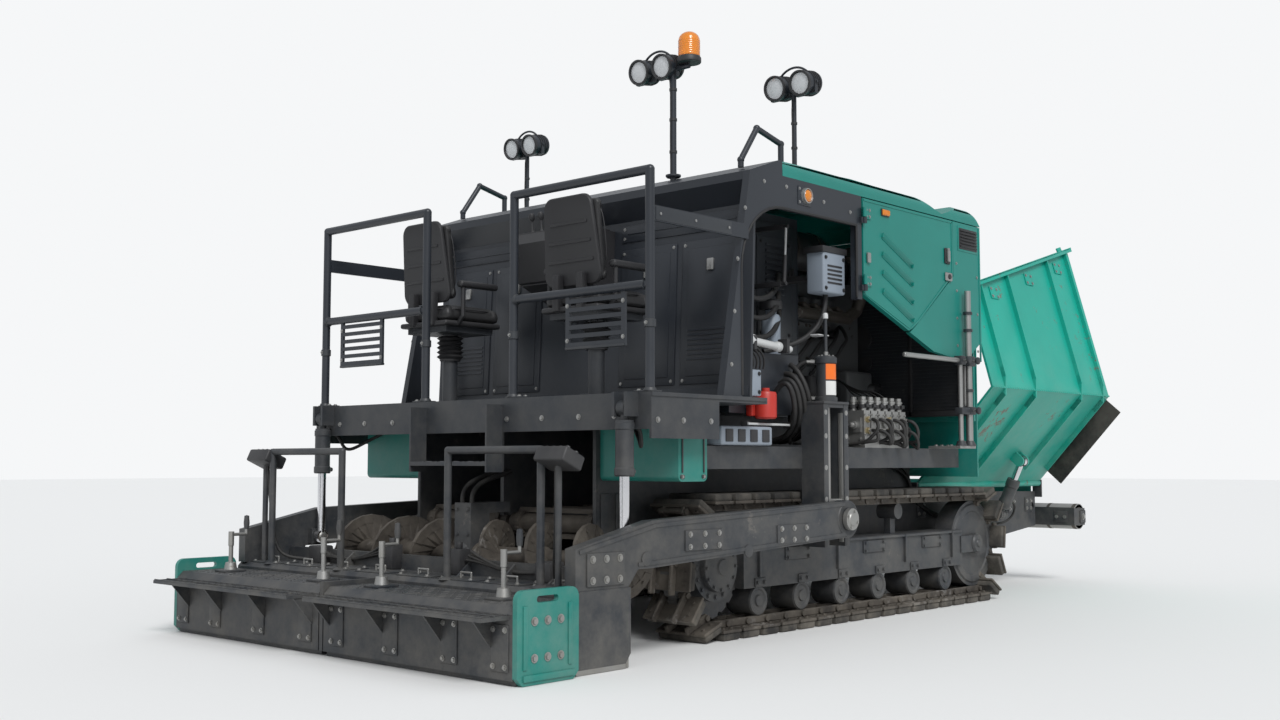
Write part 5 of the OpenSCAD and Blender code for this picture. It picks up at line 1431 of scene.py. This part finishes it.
def buildAugers():
    x, z, end, count = (augerForm[key] for key in ("x", "z", "end", "segment"))
    for side in sides:
        form = bmesh.new()
        for first in range(0, augerForm["steps"] - 3, count):
            for step in range(first, first + count - 1):
                addWear(form, step)
            addBolts(form, [augerPoint(first + step, augerForm["radius"] - 0.024, 0.018) for step in (1, 3)], outward,
                     0.007, 0.006)
        for y in augerForm["collars"]:
            addLathe(form, [(0.044, -0.016), (0.058, -0.013), (0.058, 0.013), (0.044, 0.016)], (x, y, z), outward)
        addLathe(form, [(0, 0.012), (0.02, 0.012), (0.026, 0.004), (0.045, 0.0), (0, 0)], (x, end, z), outward)
        addBolts(form, ringPoints((x, end, z), 0.034, 6, outward), outward, 0.006, 0.006)
        makePiece(form, "augerWear", "trackSteel", "auger", side=side)
    form = bmesh.new()
    for way in (-1, 1):
        addLathe(form, [(0, 0.012), (0.04, 0.012), (0.05, 0.006), (0.055, 0.0), (0, 0)], (x + way * 0.06, 0, z),
                 (way, 0, 0), 32)
        addBolts(form, ringPoints((x + way * 0.061, 0, z), 0.046, 8, (way, 0, 0)), (way, 0, 0), 0.006, 0.007)
        addBolts(form, spots(x + way * 0.06, (-0.04, 0.04), (0.5, 0.62)), (way, 0, 0), 0.008)
    makePiece(form, "augerGearbox", "darkPaint")
    makeHoses("augerHoses", bothSides([(x - 0.03, 0.035, 0.64), (x - 0.04, 0.035, 0.7), (x + 0.02, 0.042, 0.76),
                                       (-1.86, 0.0455, 0.78), (-1.79, 0.049, 0.8)]), 0.012)


buildAugers()

# Screed: bolted covers, ribs, handles, hand boxes and wiring; treads, grating, spindles and gates of the extensions
screedForm = {"front": -2.2, "rear": -2.52, "top": 0.33, "covers": (0.045, 0.345, 0.645, 0.945), "handBox": 25,
              "handBoxAt": (-2.465, 1.09, 0.86), "extFront": -2.54, "extRear": -2.86, "extTop": 0.3, "walk": 0.265,
              "walkBars": 22, "walkPitch": 0.0535}


def addHandBox(dark, grey, red):
    box = turned(screedForm["handBox"], "Y", screedForm["handBoxAt"])
    addBox(grey, (-0.06, -0.09, -0.03), (0.06, 0.09, 0.035), 0.01, box, segments=3)
    for row, place in itertools.product(range(2), range(4)):
        x, y = -0.025 + row * 0.05, -0.06 + place * 0.04
        addRound(dark, box @ Vector((x, y, 0.035)), box @ Vector((x, y, 0.047)), 0.009, 16, edge=0.002)
    addRound(red, box @ Vector((0.03, 0, 0.035)), box @ Vector((0.03, 0, 0.055)), 0.014, edge=0.003)


def buildScreed():
    dark, bright, grey, red = newForms(4)
    top, front, rear = screedForm["top"], screedForm["front"], screedForm["rear"]
    for low in screedForm["covers"]:
        addBox(dark, (rear + 0.03, low, top - 0.001), (front - 0.15, low + 0.23, top + 0.006), 0.004)
        addBolts(bright, spots((rear + 0.045, front - 0.165), (low + 0.02, low + 0.21), top + 0.006), up, 0.008)
        addPipe(bright, [(-2.42, low + 0.08, top + 0.004), (-2.42, low + 0.08, top + 0.03),
                         (-2.42, low + 0.15, top + 0.03), (-2.42, low + 0.15, top + 0.004)], 0.005, 10)
        addBolts(bright, spots(front, low + 0.105, (0.1, 0.26)), forward, 0.01)
        addBox(dark, (front - 0.001, low + 0.225, 0.07), (front + 0.007, low + 0.237, 0.29), 0.002)
    addBox(bright, (front - 0.022, 0.0, 0.0), (front - 0.006, 1.245, 0.05), 0.003)
    addBox(grey, (-2.32, 0.21, top), (-2.25, 0.29, top + 0.12), 0.008)
    addRound(grey, (-2.285, 0.25, top + 0.12), (-2.285, 0.25, top + 0.15), 0.016, edge=0.003)
    addBox(grey, (-2.33, 0.8, top), (-2.24, 0.9, top + 0.09), 0.01)
    # stand of the hand box and the feet of the rails
    addBox(dark, (-2.5, 1.05, top), (-2.43, 1.13, top + 0.01), 0.002)
    addRound(dark, (-2.465, 1.09, top + 0.005), (-2.465, 1.09, 0.84), 0.014, 18)
    addHandBox(dark, grey, red)
    for y in (0.4, 1.0):
        addLathe(dark, [(0.017, 0.012), (0.024, 0.01), (0.038, 0.0), (0.017, 0)], (-2.48, y, top), sides=24)
    makePieces((dark, "screedCovers", "darkPaint"), (bright, "screedBolts", "bareSteel"),
               (grey, "screedBoxes", "blackPlastic"), (red, "screedStops", "redPaint", "black_plastic"),
               body="screed", both=True)
    runs = [[(-2.465, 1.075, 0.83), (-2.45, 1.06, 0.6), (-2.44, 1.04, 0.42), (-2.4, 1.0, 0.35), (-2.3, 0.92, 0.348),
             (-2.28, 0.88, 0.35)]]
    for index in range(3):
        y = 0.3 + index * 0.018
        runs.append([(-2.285, y, 0.4 + index * 0.02), (-2.27, y + 0.08, 0.4), (-2.275, y + 0.25, 0.352),
                     (-2.27, y + 0.42, 0.36), (-2.29, 0.8, 0.37 + 0.01 * index)])
    makeHoses("screedHoses", bothSides(*runs), 0.008, "screed")


def addWalkway(form, metal):
    rear, walk = screedForm["extRear"], screedForm["walk"]
    for index in range(screedForm["walkBars"]):
        y = 0.075 + index * screedForm["walkPitch"]
        addBox(form, (-2.996, y, walk - 0.001), (-2.862, y + 0.006, walk + 0.004), 0.001, segments=1)
    for x in (-2.995, -2.93, -2.868):
        addBox(form, (x - 0.003, 0.065, walk - 0.001), (x + 0.003, 1.225, walk + 0.006), 0.001)
    for y in (0.12, 0.5, 0.88, 1.18):
        addBox(form, (rear - 0.006, y - 0.05, 0.05), (rear + 0.001, y + 0.05, 0.23), 0.004)
        addBolts(metal, spots(rear - 0.006, (y - 0.034, y + 0.034), (0.07, 0.21)), rearward, 0.008)
        corners = ((rear - 0.001, 0.13), (rear - 0.1, 0.249), (rear - 0.001, 0.249))
        addPrism(form, [(x, y - 0.055, z) for x, z in corners], (0, 0.008, 0))


def buildExtensions():
    rear, front, top = screedForm["extRear"], screedForm["extFront"], screedForm["extTop"]
    for side in sides:
        form, metal, gate, bolt = newForms(4)
        addTreads(form, rear + 0.035, front, 0.05, 1.22, top + 0.001)
        addWalkway(form, metal)
        # height spindles with their cranks
        for y in (0.22, 1.02):
            addLathe(metal, [(0.0, 0.2), (0.014, 0.2), (0.014, 0.13), (0.011, 0.128), (0.011, 0.05), (0.026, 0.046),
                             (0.034, 0.0), (0, 0)], (-2.7, y, top), sides=24)
            addPipe(metal, [(-2.7, y, top + 0.185), (-2.615, y, top + 0.185), (-2.615, y, top + 0.25)], 0.008, 12)
            addLathe(form, [(0.0, 0.07), (0.012, 0.066), (0.015, 0.03), (0.012, 0.0), (0, 0)], (-2.615, y, top + 0.21),
                     sides=18)
            addBox(form, (-2.76, y - 0.05, top - 0.001), (-2.64, y + 0.05, top + 0.012), 0.004)
        for x in (rear + 0.03, front - 0.05):
            addBox(gate, (x, 1.274, 0.06), (x + 0.02, 1.281, 0.3), 0.002)
        addBox(gate, (rear + 0.03, 1.274, 0.015), (front - 0.02, 1.284, 0.04), 0.003)
        addBolts(bolt, spots((rear + 0.09, -2.7, front - 0.09), 1.275, (0.1, 0.24)), outward, 0.012, 0.01)
        makePieces((form, "extensionTreads", "darkPaint"), (metal, "extensionSpindles", "bareSteel"),
                   (gate, "gateRibs", "shadedTealPaint"), (bolt, "gateBolts", "bareSteel"), body="extension", side=side)


buildScreed()
buildExtensions()
print("conveyors, augers and screed built")

# Cowl: hatches, kick plate and bolts on the cross wall, rubber edge round the side openings, side lamps
cowlForm = {"foot": (-1.27, 0, 1.15), "lean": 2.41, "side": 1.2, "openRear": -1.38, "openTop": 2.09, "bend": 0.33,
            "openFront": -0.402, "lamp": (-0.86, 1.2, 2.176), "ventCount": 7, "ventPitch": 0.024,
            "hatches": ((0.3, 0.68, 0.08, 0.8), (0.72, 1.1, 0.08, 0.8), (0.3, 1.1, 0.84, 0.93)),
            "bolts": ((-1.46, 1.3), (-1.435, 1.55), (-1.41, 1.8), (-1.35, 2.05), (-1.2, 2.2), (-1.02, 2.2),
                      (-0.7, 2.17), (-0.46, 2.15))}


def buildCowl():
    dark, bright, rubber, amber = newForms(4)
    wall, side = turned(cowlForm["lean"], "Y", cowlForm["foot"]), cowlForm["side"]
    for low, high, foot, top in cowlForm["hatches"]:
        addBox(dark, (-0.007, low, foot), (0.001, high, top), 0.004, wall)
        addBox(dark, (-0.011, low + 0.04, foot + 0.04), (-0.006, high - 0.04, top - 0.04), 0.003, wall)
        points = spots(-0.007, (low + 0.018, high - 0.018), (foot + 0.02, top - 0.02))
        addBolts(bright, [wall @ point for point in points], rearward, 0.006, 0.005)
    for low in (0.47, 0.89):
        addBox(bright, (-0.024, low, 0.64), (-0.01, low + 0.04, 0.7), 0.005, wall)
    for index in range(cowlForm["ventCount"]):
        low = 0.2 + index * cowlForm["ventPitch"]
        addBox(dark, (-0.016, 0.77, low), (-0.01, 1.05, low + 0.012), 0.001, wall, 1)
    addBox(dark, (-0.004, 0.02, 0.0), (0.001, 1.15, 0.06), 0.001, wall)
    addBolts(bright, [(x, side, z) for x, z in cowlForm["bolts"]], outward, 0.007, 0.006)
    bend, rear, top, front = (cowlForm[key] for key in ("bend", "openRear", "openTop", "openFront"))
    path = [(rear, 1.16), (rear, top - bend)]
    path += [(rear + bend - bend * math.cos(math.radians(turn)), top - bend + bend * math.sin(math.radians(turn)))
             for turn in range(10, 91, 10)]
    path += [(front, top), (front, 1.71)]
    addPipe(rubber, [(x, side - 0.001, z) for x, z in path], 0.007, 10)
    lamp = cowlForm["lamp"]
    x, y, z = lamp
    addBox(dark, (x - 0.066, y - 0.001, z - 0.05), (x + 0.046, y + 0.004, z + 0.046), 0.003)
    addLathe(bright, [(0.031, 0.017), (0.034, 0.023), (0.038, 0.021), (0.041, 0.004)], lamp, outward, 36)
    addLathe(amber, [(0, 0.029), (0.014, 0.027), (0.026, 0.022), (0.031, 0.016), (0.031, 0.006)], lamp, outward, 36)
    addBolts(bright, spots(x - 0.054, y + 0.004, (z - 0.036, z + 0.032)), outward, 0.005, 0.004)
    makePieces((dark, "cowlHatches", "cowlPaint"), (amber, "cowlLamps", "amberLens"),
               (bright, "cowlBolts", "bareSteel"), (rubber, "cowlSeal", "rubberHose"), both=True)


buildCowl()

# Engine bay, seen with a side door open: covers, filters, manifold, pulleys and hoses
bayEngine = {"side": 0.4, "cylinders": 6, "cylinderRear": -0.17, "cylinderPitch": 0.115, "cleanerBands": (-0.2, 0.02),
             "filters": (0.0, 0.16, 0.32), "pulleyX": 0.82,
             "pulleys": ((0.42, 1.62, 0.075), (0.34, 1.32, 0.1), (0.45, 1.46, 0.045))}


def buildEngine():
    iron, steel, black = newForms(3)
    side = bayEngine["side"]
    addBox(iron, (-0.26, side - 0.01, 1.2), (0.5, side + 0.06, 1.42), 0.02, segments=3)
    addBox(iron, (-0.24, side - 0.01, 1.44), (0.48, side + 0.035, 1.68), 0.012)
    for index in range(bayEngine["cylinders"]):
        x = bayEngine["cylinderRear"] + index * bayEngine["cylinderPitch"]
        addBox(iron, (x - 0.035, side + 0.03, 1.7), (x + 0.035, side + 0.075, 1.82), 0.01)
        addPipe(steel, [(x, side + 0.06, 1.76), (x, side + 0.13, 1.76), (x + 0.03, side + 0.15, 1.72)], 0.02, 14)
        addBolts(steel, spots((x - 0.04, x + 0.04), side + 0.035, (1.46, 1.66)), outward, 0.007)
    addRound(steel, (-0.2, side + 0.15, 1.71), (0.5, side + 0.15, 1.71), 0.034, 24, edge=0.006)
    addPipe(steel, [(0.47, side + 0.15, 1.71), (0.56, side + 0.16, 1.76), (0.56, side + 0.24, 1.95), (0.3, 0.68, 2.08)],
            0.036)
    # air cleaner with its bands, oil filters, pulleys and pump
    addLathe(black, [(0, 0), (0.1, 0.0), (0.11, 0.02), (0.11, 0.36), (0.1, 0.385), (0.05, 0.39), (0, 0.39)],
             (-0.28, side + 0.17, 2.06), forward, 36)
    for x in bayEngine["cleanerBands"]:
        addLathe(steel, collar(0.11, 0.114, 0.02), (x, side + 0.17, 2.06), forward, 36)
    for x in bayEngine["filters"]:
        addLathe(black, [(0, 0), (0.04, 0.002), (0.046, 0.012), (0.046, 0.15), (0.04, 0.16), (0, 0.162)],
                 (x, side + 0.1, 1.19))
    for y, z, radius in bayEngine["pulleys"]:
        addLathe(black, [(0, 0.04), (radius * 0.5, 0.04), (radius * 0.6, 0.03), (radius, 0.032), (radius * 0.9, 0.018),
                         (radius, 0.004), (0, 0)], (bayEngine["pulleyX"], y, z), forward, 36)
    addBox(iron, (0.52, side - 0.02, 1.14), (0.8, side + 0.12, 1.4), 0.02, segments=3)
    makePieces((iron, "engineCovers", "engineIron"), (steel, "engineManifold", "trackSteel", "engine_iron"),
               (black, "engineFilters", "blackPlastic"), both=True)
    runs = []
    for index in range(5):
        x = -0.18 + index * 0.13
        runs.append([(x, 0.46, 1.36), (x + 0.02, 0.52, 1.42), (x + 0.1, 0.56, 1.5 + index * 0.02),
                     (x + 0.2, 0.52, 1.58), (0.52, 0.45, 1.6 + index * 0.03), (0.6, 0.39, 1.62)])
    makeHoses("engineHoses", bothSides(*runs), 0.011)


buildEngine()

# Chassis: belly strips and bolts, plates, eyes and hoses on the cheeks; covers of the hopper wall and bonnet front
chassisForm = {"belly": (-1.62, -1.1, -0.5, 0.1, 0.7, 1.3, 1.85), "cheeks": (1.1, 1.5, 2.3, 2.55),
               "rearPlates": (-1.78, -1.68), "eyes": ((-1.75, 0.375, 0.05, 0.046), (2.6, 0.54, 0.045, 0.042)),
               "liftFoot": (-2.1, 1.12, 1.08), "liftEye": (-2.1, 1.12, 0.45)}


def buildChassis():
    dark, bright, teal = newForms(3)
    for x in chassisForm["belly"]:
        addBolts(bright, spots(x, (0.05, 0.3, 0.57), 0.33), down)
        # no strip inside the augers' circle
        if x > -1.5:
            addBox(dark, (x - 0.3, 0.02, 0.322), (x - 0.292, 0.62, 0.331), 0.002)
    for x in chassisForm["cheeks"]:
        addBox(dark, (x - 0.05, 0.664, 0.5), (x + 0.05, 0.672, 0.6), 0.004)
        addBolts(bright, spots((x - 0.03, x + 0.03), 0.672, (0.525, 0.575)), outward, 0.009)
    for x in chassisForm["rearPlates"]:
        addBox(dark, (x, 0.664, 0.42), (x + 0.08, 0.674, 0.7), 0.004)
    addBox(dark, (-1.808, 0.642, 0.36), (-1.799, 0.664, 1.06), 0.002)
    for x, z, radius, shoulder in chassisForm["eyes"]:
        addLathe(dark, [(0.0226, 0), (radius, 0.0), (radius + 0.002, 0.004), (shoulder, 0.008), (0.0226, 0.008)],
                 (x, 0.665, z), outward, 32)
    # clamp strip and rubber curtain on the hopper's rear wall, bolted cover on the bonnet's front wall
    addBox(teal, (0.989, 0.02, 1.64), (0.998, 1.12, 1.69), 0.003)
    addBolts(bright, spots(0.998, (0.08, 0.32, 0.56, 0.8, 1.04), 1.665), forward, 0.009)
    for y in (0.34, 0.72):
        addBox(teal, (0.989, y - 0.01, 0.8), (0.997, y + 0.01, 1.64), 0.003)
    addBox(teal, (0.911, 0.03, 1.78), (0.919, 0.94, 2.2), 0.004)
    addBolts(bright, spots(0.919, (0.06, 0.35, 0.64, 0.91), (1.81, 2.17)), forward, 0.008)
    addBox(dark, (2.654, 0.03, 0.64), (2.66, 0.62, 0.72), 0.002)
    addBolts(bright, spots(2.66, (0.1, 0.26, 0.42, 0.58), 0.68), forward, 0.008)
    makePieces((dark, "chassisPlates", "darkPaint"), (bright, "chassisBolts", "bareSteel"),
               (teal, "hopperCovers", "shadedTealPaint"), both=True)
    runs = [[(0.6, 0.69, 0.86 - drop), (0.9, 0.685, 0.84 - drop), (0.95, 0.682, 0.7 - drop),
             (1.0, 0.68, 0.6 - drop * 0.4), (1.4, 0.68, 0.47 - drop * 0.4), (1.8, 0.68, 0.44 - drop * 0.4),
             (2.0, 0.672, 0.43)] for drop in (0, 0.03)]
    makeHoses("chassisHoses", bothSides(*runs), 0.009)


# Screed lift cylinders: glands, ports, eyes and hoses
def buildLifts():
    caps, ends = newForms(2)
    (x, y, z), eye = chassisForm["liftFoot"], Vector(chassisForm["liftEye"])
    addLathe(caps, [(0.04, 0.06), (0.044, 0.064), (0.044, 0.09), (0.0405, 0.094), (0.0405, 0.255), (0.0445, 0.26),
                    (0.0445, 0.288), (0.04, 0.294), (0.024, 0.294)], (x, y, z), down, 32)
    for level in (z - 0.075, z - 0.273):
        addRound(caps, (x + 0.04, y, level), (x + 0.062, y, level), 0.011, 6)
    for edge in (-1, 1):
        addLathe(ends, [(0, 0.006), (0.012, 0.006), (0.02, 0.004), (0.024, 0.0), (0, 0)],
                 eye + Vector((0, edge * 0.018, 0)), (0, edge, 0))
    makePieces((caps, "liftGlands", "darkPaint"), body="lift_barrels", both=True)
    makePieces((ends, "liftEyes", "bareSteel"), body="lift_rods", both=True)
    makeHoses("liftHoses", bothSides([(-2.04, 1.12, 1.005), (-2.0, 1.12, 1.0), (-1.98, 1.11, 0.93), (-1.95, 1.08, 0.9),
                                      (-1.88, 1.0, 0.97), (-1.82, 0.9, 1.02)]), 0.009)


buildChassis()
buildLifts()
print("cowl, engine and chassis built")

# Cooler in front of the engine, seen below and behind the side doors; its dark core also puts painted shade over the
# bonnet front's inner wall
coolerForm = {"rear": 0.832, "front": 0.893, "inner": 0.42, "outer": 1.12, "low": 1.12, "top": 2.18, "rim": 0.035,
              "pitch": 0.022, "pipeLevels": (1.3, 2.02)}


def buildCooler():
    rim, shadeCore = newForms(2)
    rear, front, inner, outer, low, top, wide, pitch = (coolerForm[key] for key in (
        "rear", "front", "inner", "outer", "low", "top", "rim", "pitch"))
    # the dark core block is the cooler's core and also a painted-shade sheet across the bonnet front's inner wall
    addBox(shadeCore, (rear + 0.014, inner - 0.4, low + wide), (front, outer - wide, top - wide))
    for index in range(int((top - low - 2 * wide) / pitch)):
        level = low + wide + 0.006 + index * pitch
        addBox(shadeCore, (rear + 0.008, inner, level), (rear + 0.016, outer - wide, level + 0.01))
    for start, end in (((inner, low), (outer, low + wide)), ((inner, top - wide), (outer, top)),
                       ((outer - wide, low), (outer, top)), ((inner + 0.33, low), (inner + 0.355, top))):
        addBox(rim, (rear, *start), (front, *end), 0.005)
    addBolts(rim, [(rear, outer - wide / 2, low + 0.08 + index * 0.15) for index in range(7)], rearward, 0.008)
    for level in coolerForm["pipeLevels"]:
        addPipe(rim, [(rear + 0.01, inner + 0.1, level), (rear - 0.05, inner + 0.1, level),
                      (rear - 0.09, inner + 0.06, level - 0.02), (rear - 0.1, inner - 0.01, level - 0.05)], 0.034, 20)
    makePieces((rim, "coolerFrame", "blackPlastic"), (shadeCore, "coolerShadeCore", "darkPaint"), both=True)


buildCooler()
print("cooler built")
